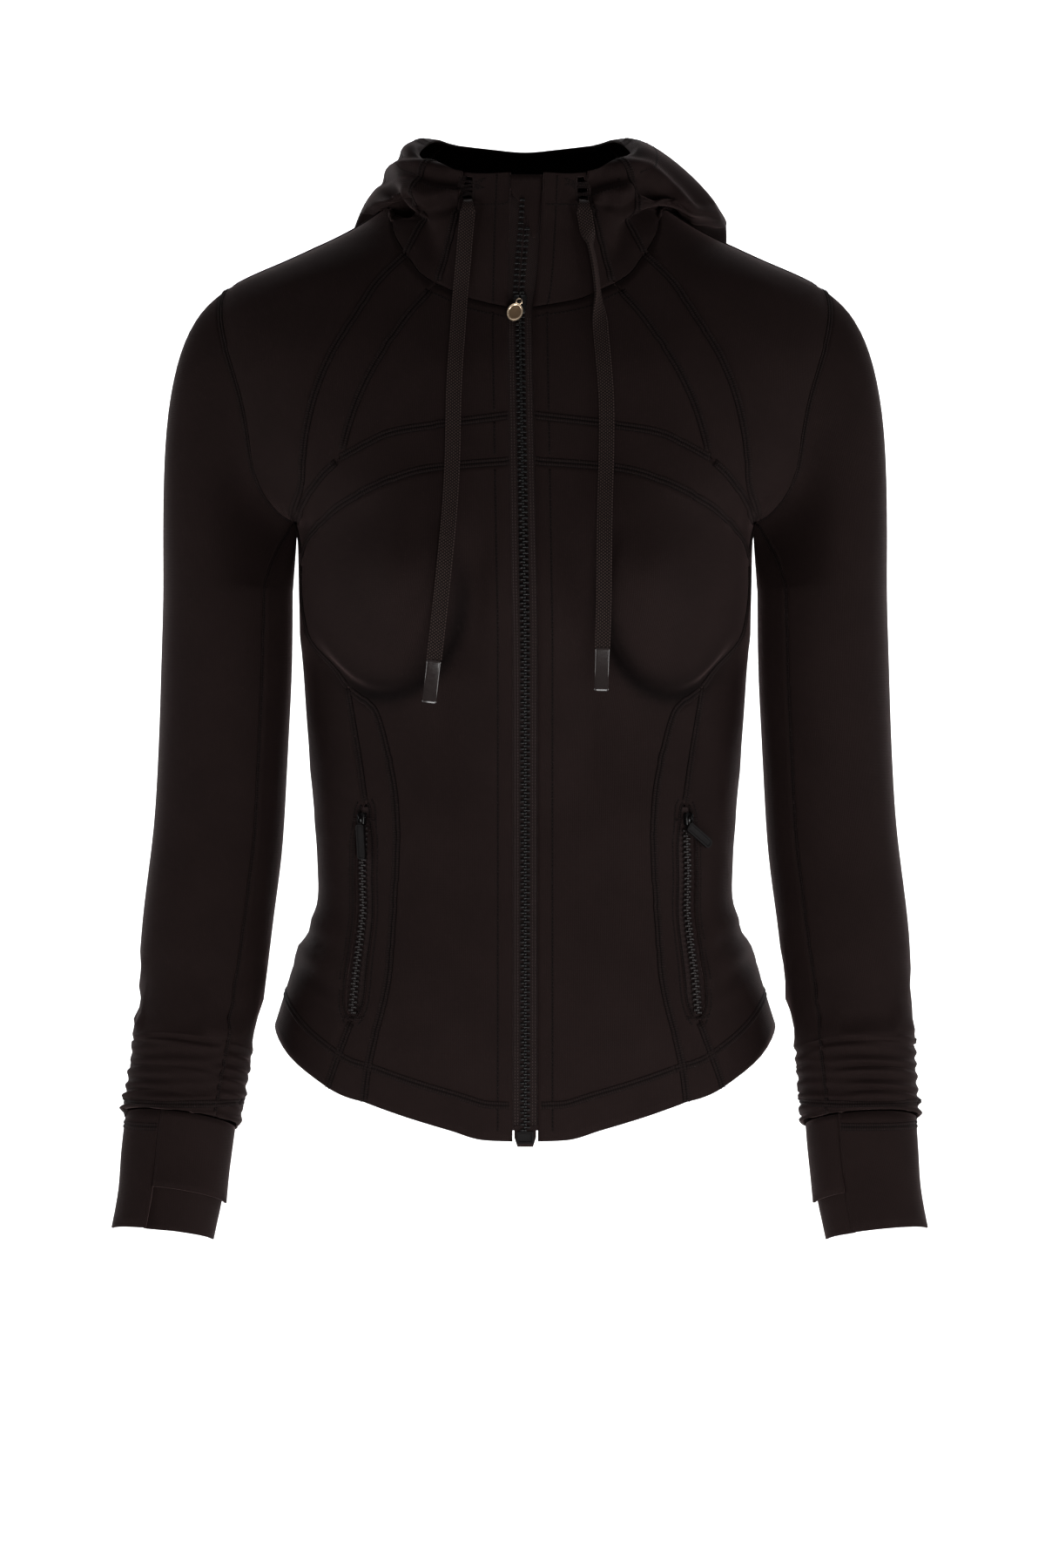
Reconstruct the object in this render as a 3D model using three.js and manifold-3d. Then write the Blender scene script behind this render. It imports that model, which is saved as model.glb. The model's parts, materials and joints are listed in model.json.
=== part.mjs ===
// A hooded jersey jacket with a full-length zip, in the hollow form it keeps when worn.
// Millimetres, +Z up. The front faces -Y and the wearer's left arm is on +X.
// z = 0 is the height where the neck meets the shoulders.
import * as THREE from "three";
import { mergeVertices } from "three/addons/utils/BufferGeometryUtils.js";
import Module from "manifold-3d";

const wasm = await Module();
wasm.setup();

// ---------- Sizes that the whole garment shares ----------

const clothThickness = 1.5;
const seamInset = 0.2;             // each piece stops this far short of its seam line
const torsoInset = 0.3;
const ridgeInset = 0.6;            // for pieces whose walls lean towards each other at the seam
const frontOpening = 7.5;          // from the zip's centre line to the cloth edge
const tapeDepth = 1.9;             // the zip tape's face, behind the cloth's outer face
const tapeThickness = 1.0;
const neckAxisY = 10;              // the hood's sections fan out from this vertical axis
const underArmAngle = 127;         // where the under-sleeve begins, round the sleeve from its outer side

const colors = {
  jersey: 0x1c1716,
  tape: 0x151213,
  teeth: 0x1b191a,
  metal: 0x8c7a5c,
  slider: 0x121212,
  cord: 0x231d1b,
  tip: 0x3a3230,
};

const materialOf = (name, color, roughness, metalness = 0) => {
  const material = new THREE.MeshStandardMaterial({ color, roughness, metalness });
  material.name = name;
  return material;
};
const jersey = materialOf("jersey", colors.jersey, 0.9);
const tapeCloth = materialOf("zip_tape", colors.tape, 0.85);
const teethPlastic = materialOf("zip_teeth", colors.teeth, 0.45);
const sliderMetal = materialOf("zip_slider", colors.slider, 0.35, 0.8);
const badgeMetal = materialOf("pull_badge", colors.metal, 0.3, 1);
const pullRubber = materialOf("pull_rubber", colors.slider, 0.5);
const cordWeave = materialOf("drawcord", colors.cord, 0.9);
const tipPlastic = materialOf("cord_tip", colors.tip, 0.15);

// ---------- Reading tables ----------

const radians = THREE.MathUtils.degToRad;
const mix = THREE.MathUtils.lerp;
const easeIn = THREE.MathUtils.smoothstep;
const bump = (distance, reach) => Math.exp(-((distance / reach) ** 2));

// Reads one column of a table between its rows, smoothly and without overshooting.
// The rows run in rising order of `key`.
function read(rows, key, at, name) {
  const last = rows.length - 1;
  if (at <= rows[0][key]) return rows[0][name];
  if (at >= rows[last][key]) return rows[last][name];
  const slope = (i) => (rows[i + 1][name] - rows[i][name]) / (rows[i + 1][key] - rows[i][key]);
  const tangent = (i) => {
    if (i === 0) return slope(0);
    if (i === last) return slope(last - 1);
    const before = slope(i - 1);
    const after = slope(i);
    return before * after <= 0 ? 0 : (2 * before * after) / (before + after);
  };
  let i = 0;
  while (rows[i + 1][key] < at) i++;
  const step = rows[i + 1][key] - rows[i][key];
  const t = (at - rows[i][key]) / step;
  const rise = rows[i + 1][name] - rows[i][name];
  const curve = t * t * (3 - 2 * t);
  const swing = step * t * (1 - t) * ((1 - t) * tangent(i) - t * tangent(i + 1));
  return rows[i][name] + rise * curve + swing;
}

// ---------- The torso's surface ----------

// Level sections of the torso, from the hem up. `wide` is half its width. `front` and `back` are
// the depths on the centre lines. At the side, the front half ends at frontEdge and the back half
// at backEdge: where they differ, the armhole is open between them. `sweep` is how much of a
// quarter turn each half makes, so 90 meets the side squarely.
const torsoSections = [
  { up: -610, wide: 166, front: 101, back: 108, frontEdge: 0, backEdge: 0, sweep: 90 },
  { up: -560, wide: 165, front: 101, back: 108, frontEdge: 0, backEdge: 0, sweep: 90 },
  { up: -520, wide: 162, front: 101, back: 104, frontEdge: 0, backEdge: 0, sweep: 90 },
  { up: -495, wide: 156, front: 99, back: 98, frontEdge: 0, backEdge: 0, sweep: 90 },
  { up: -470, wide: 147, front: 97, back: 90, frontEdge: 0, backEdge: 0, sweep: 90 },
  { up: -445, wide: 137, front: 94, back: 82, frontEdge: 0, backEdge: 0, sweep: 90 },
  { up: -420, wide: 131, front: 91, back: 76, frontEdge: 0, backEdge: 0, sweep: 90 },
  { up: -395, wide: 131.5, front: 89, back: 73, frontEdge: 0, backEdge: 0, sweep: 90 },
  { up: -365, wide: 134.5, front: 88, back: 73, frontEdge: 0, backEdge: 0, sweep: 90 },
  { up: -325, wide: 138.5, front: 91, back: 77, frontEdge: 0, backEdge: 0, sweep: 90 },
  { up: -285, wide: 141, front: 96, back: 84, frontEdge: 0, backEdge: 0, sweep: 90 },
  { up: -245, wide: 142.5, front: 101, back: 91, frontEdge: 0, backEdge: 0, sweep: 90 },
  { up: -215, wide: 143, front: 103, back: 96, frontEdge: 0, backEdge: 0, sweep: 90 },
  { up: -188, wide: 144, front: 102, back: 99, frontEdge: 0, backEdge: 0, sweep: 90 },
  { up: -183, wide: 152, front: 101.5, back: 99.5, frontEdge: -10, backEdge: 12, sweep: 84 },
  { up: -176, wide: 160, front: 100.5, back: 100, frontEdge: -21, backEdge: 25, sweep: 77 },
  { up: -165, wide: 167, front: 99, back: 101, frontEdge: -31, backEdge: 36, sweep: 70 },
  { up: -150, wide: 171, front: 96.5, back: 101, frontEdge: -38, backEdge: 44, sweep: 65 },
  { up: -130, wide: 174, front: 93, back: 101, frontEdge: -41, backEdge: 48, sweep: 62 },
  { up: -110, wide: 178, front: 89, back: 99, frontEdge: -40, backEdge: 48, sweep: 61 },
  { up: -90, wide: 184, front: 84, back: 96, frontEdge: -35, backEdge: 44, sweep: 61 },
  { up: -70, wide: 190, front: 76, back: 91, frontEdge: -26, backEdge: 37, sweep: 64 },
  { up: -54, wide: 192, front: 69, back: 87, frontEdge: -14, backEdge: 28, sweep: 69 },
  { up: -44, wide: 191.5, front: 65, back: 84, frontEdge: -3, backEdge: 18, sweep: 75 },
  { up: -38, wide: 189, front: 62, back: 82, frontEdge: 8, backEdge: 8, sweep: 82 },
  { up: -32, wide: 178, front: 60, back: 80, frontEdge: 8, backEdge: 8, sweep: 84 },
  { up: -25, wide: 162, front: 57, back: 78, frontEdge: 8, backEdge: 8, sweep: 84 },
  { up: -18, wide: 146, front: 54, back: 76, frontEdge: 8, backEdge: 8, sweep: 84 },
  { up: -11, wide: 131, front: 52, back: 74, frontEdge: 8, backEdge: 8, sweep: 84 },
  { up: -4, wide: 116, front: 50, back: 71, frontEdge: 8, backEdge: 8, sweep: 84 },
  { up: 4, wide: 102, front: 48, back: 68, frontEdge: 8, backEdge: 8, sweep: 84 },
  { up: 12, wide: 90, front: 46, back: 65, frontEdge: 8, backEdge: 8, sweep: 84 },
  { up: 20, wide: 80, front: 44, back: 62, frontEdge: 8, backEdge: 8, sweep: 84 },
];
const shoulderTip = -38;           // the armhole's highest point
const armpit = -186.5;             // where the front panels end at the armhole
const armholeFloor = -188;         // the armhole's lowest point

// The bust that the band and the panel under it are cut for.
const bust = { out: 29, across: 78, up: -228, reachAcross: 46, reachAbove: 62, reachBelow: 42 };
// The back's cloth, gathered by the waist, stands out in a soft fold on each side.
const waistFold = { out: 9, turn: 112, up: -457, reachTurn: 16, reachUp: 13 };

function torsoPoint(turn, up) {
  const side = turn < 0 ? -1 : 1;
  const away = Math.abs(turn);
  const isFront = away <= 90;
  const column = (name) => read(torsoSections, "up", up, name);
  const sweep = radians(column("sweep"));
  const angle = (sweep * (isFront ? away : 180 - away)) / 90;
  const x = (column("wide") * Math.sin(angle)) / Math.sin(sweep);
  const fall = (1 - Math.cos(angle)) / (1 - Math.cos(sweep));
  const middle = isFront ? -column("front") : column("back");
  const edge = isFront ? column("frontEdge") : column("backEdge");
  const y = mix(middle, edge, fall);
  const point = new THREE.Vector3(side * x, y, up);
  if (isFront) {
    const reachUp = up > bust.up ? bust.reachAbove : bust.reachBelow;
    point.y -= bust.out * bump(x - bust.across, bust.reachAcross) * bump(up - bust.up, reachUp);
  }
  const fold = waistFold.out * bump(away - waistFold.turn, waistFold.reachTurn);
  const outwards = fold * bump(up - waistFold.up, waistFold.reachUp);
  point.x += side * outwards * Math.sin(radians(away));
  point.y -= outwards * Math.cos(radians(away));
  return point;
}

// The turn that lies x millimetres from the centre line at the given height.
function turnAt(x, up) {
  const sweep = radians(read(torsoSections, "up", up, "sweep"));
  const wide = read(torsoSections, "up", up, "wide");
  const sine = Math.min(1, (Math.abs(x) * Math.sin(sweep)) / wide);
  return (Math.sign(x) * 90 * Math.asin(sine)) / sweep;
}

// The direction that the torso's outer face looks in. It never mixes the two sides of the armhole.
function torsoOut(turn, up) {
  const side = turn < 0 ? -1 : 1;
  const away = Math.abs(turn);
  const low = away <= 90 ? away - 0.5 : Math.max(away - 0.5, 90.001);
  const high = away <= 90 ? Math.min(away + 0.5, 90) : away + 0.5;
  const across = torsoPoint(side * high, up).sub(torsoPoint(side * low, up));
  const upwards = torsoPoint(turn, up + 1).sub(torsoPoint(turn, up - 1));
  return across.cross(upwards).multiplyScalar(side).normalize();
}

const torso = { at: torsoPoint, out: torsoOut };

// ---------- The zip's centre line ----------

// The zip hangs a little off the middle above the bust.
const zipSway = [
  { up: -260, x: 0 },
  { up: -130, x: -2.2 },
  { up: -57, x: -3.2 },
  { up: -10, x: 0 },
  { up: 30, x: 2.5 },
];
const zipX = (up) => read(zipSway, "up", up, "x");

// The front edge's turn, measured from the centre line towards its own side.
const frontEdgeTurn = (side, up) => turnAt(side * zipX(up) + frontOpening, up);

// ---------- Seams on the torso ----------

// The heights where the seams meet the zip, and where the shoulder ridge leaves the neckline.
const frontUps = { neck: -56.5, upperArch: -125, lowerArch: -153, hem: -570 };
const neckRidgeUp = 13;

// Each row is a place on the torso: degrees round from the centre front, and height.
// The same seams serve both sides.
const seamRows = {
  neckToPrincess: [
    { turn: 6, up: frontUps.neck },
    { turn: 12.2, up: -51 },
    { turn: 18.8, up: -41 },
  ],
  neckToShoulderSeam: [
    { turn: 18.8, up: -41 },
    { turn: 24.5, up: -30 },
    { turn: 31, up: -21 },
  ],
  neckToRidge: [
    { turn: 31, up: -21 },
    { turn: 47, up: -5 },
    { turn: 69, up: 9.5 },
    { turn: 90, up: neckRidgeUp },
  ],
  innerPrincess: [
    { turn: 18.8, up: -41 },
    { turn: 25, up: -54 },
    { turn: 32, up: -73 },
    { turn: 38, up: -89 },
    { turn: 47.5, up: -122 },
    { turn: 51.6, up: -150 },
  ],
  outerPrincess: [
    { turn: 31, up: -21 },
    { turn: 32.5, up: -40 },
    { turn: 38.6, up: -55 },
    { turn: 46.6, up: -74 },
    { turn: 53.4, up: -92 },
    { turn: 61, up: -118 },
    { turn: 63.4, up: -132 },
  ],
  outerPrincessEnd: [
    { turn: 63.4, up: -132 },
    { turn: 64.9, up: -147 },
    { turn: 66.5, up: -168 },
    { turn: 72, up: -178 },
    { turn: 81, up: -184.3 },
  ],
  upperArch: [
    { turn: 4.7, up: frontUps.upperArch },
    { turn: 17.2, up: -129 },
    { turn: 29, up: -132 },
    { turn: 38, up: -136 },
    { turn: 45.2, up: -144 },
    { turn: 51.6, up: -150 },
  ],
  upperArchEnd: [
    { turn: 51.6, up: -150 },
    { turn: 58.2, up: -161 },
    { turn: 63.7, up: -171.5 },
    { turn: 70.5, up: -181.5 },
    { turn: 82, up: -187.2 },
  ],
  bandToArmpit: [
    { turn: 82, up: -187.2 },
    { turn: 89.99, up: armpit },
  ],
  shoulderToArmpit: [
    { turn: 81, up: -184.3 },
    { turn: 89.99, up: armpit },
  ],
  princessTip: [
    { turn: 82, up: -187.2 },
    { turn: 81, up: -184.3 },
  ],
  lowerArch: [
    { turn: 4.7, up: frontUps.lowerArch },
    { turn: 17.1, up: -155.5 },
    { turn: 28.6, up: -159 },
    { turn: 42, up: -170 },
    { turn: 61.9, up: -189 },
    { turn: 71, up: -197 },
    { turn: 78.5, up: -209 },
  ],
  armpitToArch: [
    { turn: 89.99, up: armpit },
    { turn: 82, up: -197 },
    { turn: 78.5, up: -209 },
  ],
  sideCurve: [
    { turn: 78.5, up: -209 },
    { turn: 80, up: -226 },
    { turn: 78.5, up: -242 },
    { turn: 73.2, up: -257 },
    { turn: 67.7, up: -273 },
    { turn: 57, up: -292.5 },
  ],
  waistTop: [
    { turn: 57, up: -292.5 },
    { turn: 50, up: -299.5 },
    { turn: 44.4, up: -308 },
  ],
  innerWaist: [
    { turn: 44.4, up: -308 },
    { turn: 41.2, up: -327 },
    { turn: 38, up: -350 },
    { turn: 36.8, up: -375 },
    { turn: 38, up: -410 },
    { turn: 38, up: -435 },
    { turn: 35.5, up: -462 },
    { turn: 34.8, up: -490 },
    { turn: 36.4, up: -517 },
    { turn: 37.4, up: -547 },
  ],
  outerWaist: [
    { turn: 57, up: -292.5 },
    { turn: 55.3, up: -310 },
    { turn: 52.5, up: -333 },
    { turn: 49.2, up: -352 },
    { turn: 48.7, up: -371 },
    { turn: 50.5, up: -409 },
    { turn: 49.1, up: -433 },
    { turn: 47.3, up: -454 },
    { turn: 44.6, up: -480 },
    { turn: 43.4, up: -497 },
    { turn: 45.4, up: -518 },
    { turn: 48.4, up: -539 },
  ],
  hemFront: [
    { turn: 5.5, up: frontUps.hem },
    { turn: 9.7, up: -569 },
    { turn: 15.8, up: -564 },
    { turn: 26.2, up: -556 },
    { turn: 37.4, up: -547 },
  ],
  hemStrip: [
    { turn: 37.4, up: -547 },
    { turn: 43, up: -544 },
    { turn: 48.4, up: -539 },
  ],
  hemSide: [
    { turn: 48.4, up: -539 },
    { turn: 61.1, up: -526 },
    { turn: 76, up: -509 },
    { turn: 90, up: -502 },
    { turn: 132, up: -509 },
  ],
  hemBack: [
    { turn: 132, up: -509 },
    { turn: 156, up: -513 },
    { turn: 180, up: -515 },
  ],
  backSeam: [
    { turn: 90.01, up: armpit },
    { turn: 98, up: -205 },
    { turn: 110, up: -250 },
    { turn: 122, up: -320 },
    { turn: 126, up: -390 },
    { turn: 128, up: -450 },
    { turn: 132, up: -509 },
  ],
  backNeck: [
    { turn: 90, up: 13 },
    { turn: 130, up: 16 },
    { turn: 180, up: 18 },
  ],
};

// How many cells lie along each seam. Both pieces that meet there use the same places.
const seamSteps = {
  neckToShoulderSeam: 3,
  innerPrincess: 6,
  outerPrincess: 6,
  outerPrincessEnd: 5,
  upperArchEnd: 5,
  bandToArmpit: 1,
  shoulderToArmpit: 4,
  princessTip: 3,
  lowerArch: 12,
  armpitToArch: 2,
  sideCurve: 4,
  waistTop: 3,
  hemFront: 12,
  hemStrip: 3,
  hemSide: 4,
  hemBack: 6,
};
// From the zip outwards, the collar's columns close up round the drawcord's buttonhole.
const frontColumns = [0, 0.22, 0.44, 0.62, 0.78, 0.94, 1];
// The last four cells before the shoulder ridge are the shoulder panel's top edge.
const ridgeColumns = [0, 0.26, 0.52, 0.78, 0.835, 0.89, 0.945, 1];
const evenly = (steps) => Array.from({ length: steps + 1 }, (_, i) => i / steps);

// The pocket opening on the outer waist seam, and how far each cloth edge stands off the seam.
const pocket = { top: -364, bottom: -495, halfWidth: 3.4 };

// Heights of the rows between the waist seam's start and the hem, the same on every seam there.
// Two rows lie close together at each end of the pocket, where the cloth edges step apart.
const lowerRows = [
  0, 0.1, 0.2, 0.283, 0.303, 0.39, 0.475, 0.56, 0.645, 0.73, 0.812, 0.832, 0.915, 1,
];

function curveOf(rows) {
  return new THREE.CatmullRomCurve3(
    rows.map((row) => new THREE.Vector3(row.turn, row.up, 0)), false, "centripetal");
}

// Places along a seam, at the given shares of its length.
function along(rows, shares) {
  const curve = curveOf(rows);
  return shares.map((share) => {
    const point = curve.getPointAt(share);
    return [point.x, point.y];
  });
}

// Places along a seam that falls all the way, at the given shares of its height.
function downBy(rows, shares) {
  const curve = curveOf(rows);
  const top = rows[0].up;
  const bottom = rows[rows.length - 1].up;
  return shares.map((share) => {
    const target = mix(top, bottom, share);
    let low = 0;
    let high = 1;
    for (let i = 0; i < 40; i++) {
      const middle = (low + high) / 2;
      if (curve.getPoint(middle).y > target) low = middle;
      else high = middle;
    }
    return [curve.getPoint((low + high) / 2).x, target];
  });
}

const seamPlaces = (name) => along(seamRows[name], evenly(seamSteps[name]));
const join = (...stretches) => stretches.flatMap((places, i) => (i === 0 ? places : places.slice(1)));

// The armhole, from the shoulder tip down. The sleeve starts from the same places.
const armholeSteps = 8;
const underArmSteps = 4;
const wrapped = (angle) => (angle + 360) % 360;
const folded = (angle) => Math.min(wrapped(angle), 360 - wrapped(angle));
function armholeUp(angle) {
  const fold = folded(angle);
  if (fold <= underArmAngle) {
    return mix(shoulderTip, armpit, (1 - Math.cos((Math.PI * fold) / underArmAngle)) / 2);
  }
  return mix(armpit, armholeFloor, (fold - underArmAngle) / (180 - underArmAngle));
}
const armholeTurn = (angle) => (wrapped(angle) <= 180 ? 89.99 : 90.01);
const upperAngles = evenly(armholeSteps).map((share) => share * underArmAngle);
const underAngles = evenly(underArmSteps).map((share) => mix(underArmAngle, 360 - underArmAngle, share));
const armholePlaces = (angles) => angles.map((angle) => [armholeTurn(angle), armholeUp(angle)]);

// ---------- Cloth walls over grids of places ----------

// How far along each of two facing edges a place lies, from 0 to 1, taken as their average.
const degreeLength = 2.2;          // millimetres round the body for a degree, roughly
function sharesAlong(first, second) {
  const lengths = [first, second].map((places) => {
    let run = 0;
    const runs = places.map(([turn, up], i) => {
      const [turnBefore, upBefore] = places[Math.max(i - 1, 0)];
      run += Math.hypot((turn - turnBefore) * degreeLength, up - upBefore);
      return run;
    });
    return runs.map((length) => length / run);
  });
  return lengths[0].map((share, i) => mix(share, lengths[1][i], 0.5));
}

// Fills a grid from its four edges: top and bottom run the same way, and so do left and right.
// The bend of the left and right edges fades inwards, faster with a larger `fade`. `byLength`
// spaces the grid by the edges' lengths in place of their steps.
function patch(top, bottom, left, right, { fade = 1, byLength = false } = {}) {
  const across = byLength ? sharesAlong(top, bottom) : evenly(top.length - 1);
  const down = byLength ? sharesAlong(left, right) : evenly(left.length - 1);
  const last = top.length - 1;
  return down.map((t, i) => across.map((s, j) => [0, 1].map((k) => {
    const ruled = mix(top[j][k], bottom[j][k], t);
    const leftBend = left[i][k] - mix(top[0][k], bottom[0][k], t);
    const rightBend = right[i][k] - mix(top[last][k], bottom[last][k], t);
    return ruled + leftBend * (1 - s) ** fade + rightBend * s ** fade;
  })));
}

function geometryFrom(points, triangles) {
  let volume = 0;
  for (const [a, b, c] of triangles) {
    volume += points[a].dot(points[b].clone().cross(points[c]));
  }
  const facing = volume < 0 ? triangles.map(([a, b, c]) => [a, c, b]) : triangles;
  const geometry = new THREE.BufferGeometry().setFromPoints(points);
  geometry.setIndex(facing.flat());
  geometry.computeVertexNormals();
  return geometry;
}

// The grid's points, with each edge drawn in until it lies `inset` away from where it was.
function drawnIn(points, inset) {
  const rows = points.length;
  const columns = points[0].length;
  const clampRow = (i) => Math.min(Math.max(i, 0), rows - 1);
  const clampColumn = (j) => Math.min(Math.max(j, 0), columns - 1);
  return points.map((row, i) => row.map((point, j) => {
    const moved = point.clone();
    const pull = (neighbour, before, after) => {
      const inwards = neighbour.clone().sub(point);
      const edge = after.clone().sub(before);
      const sine = inwards.clone().cross(edge).length() / (inwards.length() * edge.length());
      const step = Math.min(inset / Math.max(sine, 0.2), 0.45 * inwards.length());
      moved.add(inwards.setLength(step));
    };
    const above = points[clampRow(i - 1)][j];
    const below = points[clampRow(i + 1)][j];
    const before = row[clampColumn(j - 1)];
    const after = row[clampColumn(j + 1)];
    if (j === 0) pull(after, above, below);
    if (j === columns - 1) pull(before, above, below);
    if (i === 0) pull(below, before, after);
    if (i === rows - 1) pull(above, before, after);
    return moved;
  }));
}

// A closed wall: `grid` holds places on `surface`, and the wall reaches inwards from its outer
// face. `skip(row, column)` leaves a cell open.
function wall(grid, surface, { thickness = clothThickness, inset = seamInset, skip = () => false } = {}) {
  const rows = grid.length;
  const columns = grid[0].length;
  const outer = drawnIn(grid.map((row) => row.map(([u, v]) => surface.at(u, v))), inset);
  const inner = grid.map((row, i) => row.map(([u, v], j) => (
    outer[i][j].clone().addScaledVector(surface.out(u, v), -thickness))));
  const points = [...outer.flat(), ...inner.flat()];
  const depth = rows * columns;
  const spot = (i, j) => i * columns + j;
  const filled = (i, j) => i >= 0 && j >= 0 && i < rows - 1 && j < columns - 1 && !skip(i, j);
  const triangles = [];
  const quad = (a, b, c, d) => triangles.push([a, b, c], [a, c, d]);
  const rim = (a, b) => quad(a, b, b + depth, a + depth);
  for (let i = 0; i < rows - 1; i++) {
    for (let j = 0; j < columns - 1; j++) {
      if (!filled(i, j)) continue;
      const corners = [spot(i, j), spot(i + 1, j), spot(i + 1, j + 1), spot(i, j + 1)];
      quad(...corners);
      quad(...corners.map((corner) => corner + depth).reverse());
      if (!filled(i, j - 1)) rim(corners[1], corners[0]);
      if (!filled(i + 1, j)) rim(corners[2], corners[1]);
      if (!filled(i, j + 1)) rim(corners[3], corners[2]);
      if (!filled(i - 1, j)) rim(corners[0], corners[3]);
    }
  }
  return geometryFrom(points, triangles);
}

const jacket = new THREE.Group();
jacket.name = "jersey_jacket";

function add(name, geometry, material, parent = jacket) {
  const mesh = new THREE.Mesh(geometry, material);
  mesh.name = name;
  parent.add(mesh);
  return mesh;
}

const sides = [
  { side: 1, tag: "left" },
  { side: -1, tag: "right" },
];

// ---------- Torso panels ----------

const onSide = (side, places) => places.map(([turn, up]) => [side * turn, up]);
const edgePlaces = (side, from, to, shares) => shares.map((share) => {
  const up = mix(from, to, share);
  return [frontEdgeTurn(side, up), up];
});

// A seam that begins at the zip starts from the front edge of its own side.
function fromFrontEdge(side, rows, shares) {
  const [first, ...rest] = rows;
  return along([{ turn: frontEdgeTurn(side, first.up), up: first.up }, ...rest], shares);
}

// The outer waist seam with its pocket: the cloth edge steps off the seam between the pocket's ends.
function pocketEdge(direction) {
  const seam = downBy(seamRows.outerWaist, lowerRows);
  const opening = seam.map(([, up]) => up < pocket.top && up > pocket.bottom);
  return seam.map(([turn, up], i) => {
    if (!opening[i]) return [turn, up];
    const degree = torsoPoint(turn + 0.5, up).distanceTo(torsoPoint(turn - 0.5, up));
    return [turn + (direction * pocket.halfWidth) / degree, up];
  });
}

const bandFade = 5;                // the bust band's slanted end bends only its last few columns
function addTorsoPanels({ side, tag }) {
  const edge = (from, to, shares) => edgePlaces(side, from, to, shares);
  const addPanel = (name, top, bottom, left, right, spacing) => {
    const grid = patch(top, bottom, left, right, spacing).map((row) => onSide(side, row));
    add(`${name}_${tag}`, wall(grid, torso, { inset: torsoInset }), jersey);
  };
  const neck = fromFrontEdge(side, seamRows.neckToPrincess, frontColumns);
  const arch = fromFrontEdge(side, seamRows.upperArch, evenly(frontColumns.length - 1));
  const lower = fromFrontEdge(side, seamRows.lowerArch, evenly(seamSteps.lowerArch));
  const hem = fromFrontEdge(side, seamRows.hemFront, evenly(seamSteps.hemFront));
  const innerPrincess = seamPlaces("innerPrincess");
  const outerPrincess = join(seamPlaces("outerPrincess"), seamPlaces("outerPrincessEnd"));
  const innerWaist = downBy(seamRows.innerWaist, lowerRows);
  const besideArmpit = join(seamPlaces("armpitToArch"), seamPlaces("sideCurve"));
  const frontRows = evenly(besideArmpit.length - 1 - seamSteps.armpitToArch
    + seamSteps.waistTop + lowerRows.length - 1);
  const neckSide = along(seamRows.neckToRidge, ridgeColumns);
  const ridge = evenly(6).map((share) => [90, mix(neckRidgeUp, shoulderTip, share)]);
  const armholeFront = armholePlaces(upperAngles);

  const chestRows = evenly(seamSteps.innerPrincess);
  addPanel("chest_panel", neck, arch, edge(frontUps.neck, frontUps.upperArch, chestRows), innerPrincess);
  addPanel("princess_strip", seamPlaces("neckToShoulderSeam"), seamPlaces("princessTip"),
    join(innerPrincess, seamPlaces("upperArchEnd")), outerPrincess);
  addPanel("shoulder_panel", neckSide.slice(3), seamPlaces("shoulderToArmpit"),
    join(neckSide.slice(0, 4).reverse(), outerPrincess), join(ridge, armholeFront));
  const bandTop = join(arch, seamPlaces("upperArchEnd"), seamPlaces("bandToArmpit"));
  const bandRows = evenly(seamSteps.armpitToArch);
  addPanel("bust_band", bandTop, lower, edge(frontUps.upperArch, frontUps.lowerArch, bandRows),
    seamPlaces("armpitToArch"), { fade: bandFade, byLength: true });
  addPanel("front_panel", lower, hem, edge(frontUps.lowerArch, frontUps.hem, frontRows),
    join(seamPlaces("sideCurve"), seamPlaces("waistTop"), innerWaist));
  addPanel("waist_strip", seamPlaces("waistTop").reverse(), seamPlaces("hemStrip"),
    innerWaist, pocketEdge(-1), { byLength: true });
  addPanel("side_panel", armholePlaces(underAngles), seamPlaces("hemSide"),
    join(besideArmpit, pocketEdge(1)),
    along(seamRows.backSeam, evenly(besideArmpit.length + lowerRows.length - 2)));
}
sides.forEach(addTorsoPanels);

// ---------- Sleeves ----------

// The arm's centre line and half sizes, from below the armhole to the wrist.
// `out` is sideways from the middle of the body and `forward` is towards the front.
const armStations = [
  { down: 235, out: 188, forward: -6, wide: 41, deep: 48 },
  { down: 285, out: 189, forward: -6, wide: 41.4, deep: 47 },
  { down: 338, out: 191.3, forward: -3, wide: 40.8, deep: 45 },
  { down: 377, out: 193, forward: 0, wide: 41.2, deep: 43 },
  { down: 404, out: 196, forward: 4, wide: 41.2, deep: 42 },
  { down: 430, out: 199, forward: 9, wide: 41, deep: 41 },
  { down: 456, out: 201.3, forward: 15, wide: 40.8, deep: 39 },
  { down: 483, out: 203.8, forward: 22, wide: 39, deep: 37 },
  { down: 508, out: 206, forward: 29, wide: 37.2, deep: 35.5 },
  { down: 538, out: 209.5, forward: 37, wide: 36.8, deep: 34 },
  { down: 572, out: 213, forward: 46, wide: 36.8, deep: 32.5 },
  { down: 598, out: 215, forward: 53, wide: 36, deep: 31.5 },
  { down: 632, out: 220, forward: 62, wide: 34.5, deep: 30.5 },
];
const sleeveTop = 235;             // the first whole ring below the armhole
const bunchTop = 512;
const bunchBottom = 560;
const cuffEnd = 630;
// Each wrist turns and leans a little in its own way.
const wrists = {
  1: { lean: -3.4, seam: 117 },
  [-1]: { lean: 3.4, seam: 71 },
};

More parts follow.
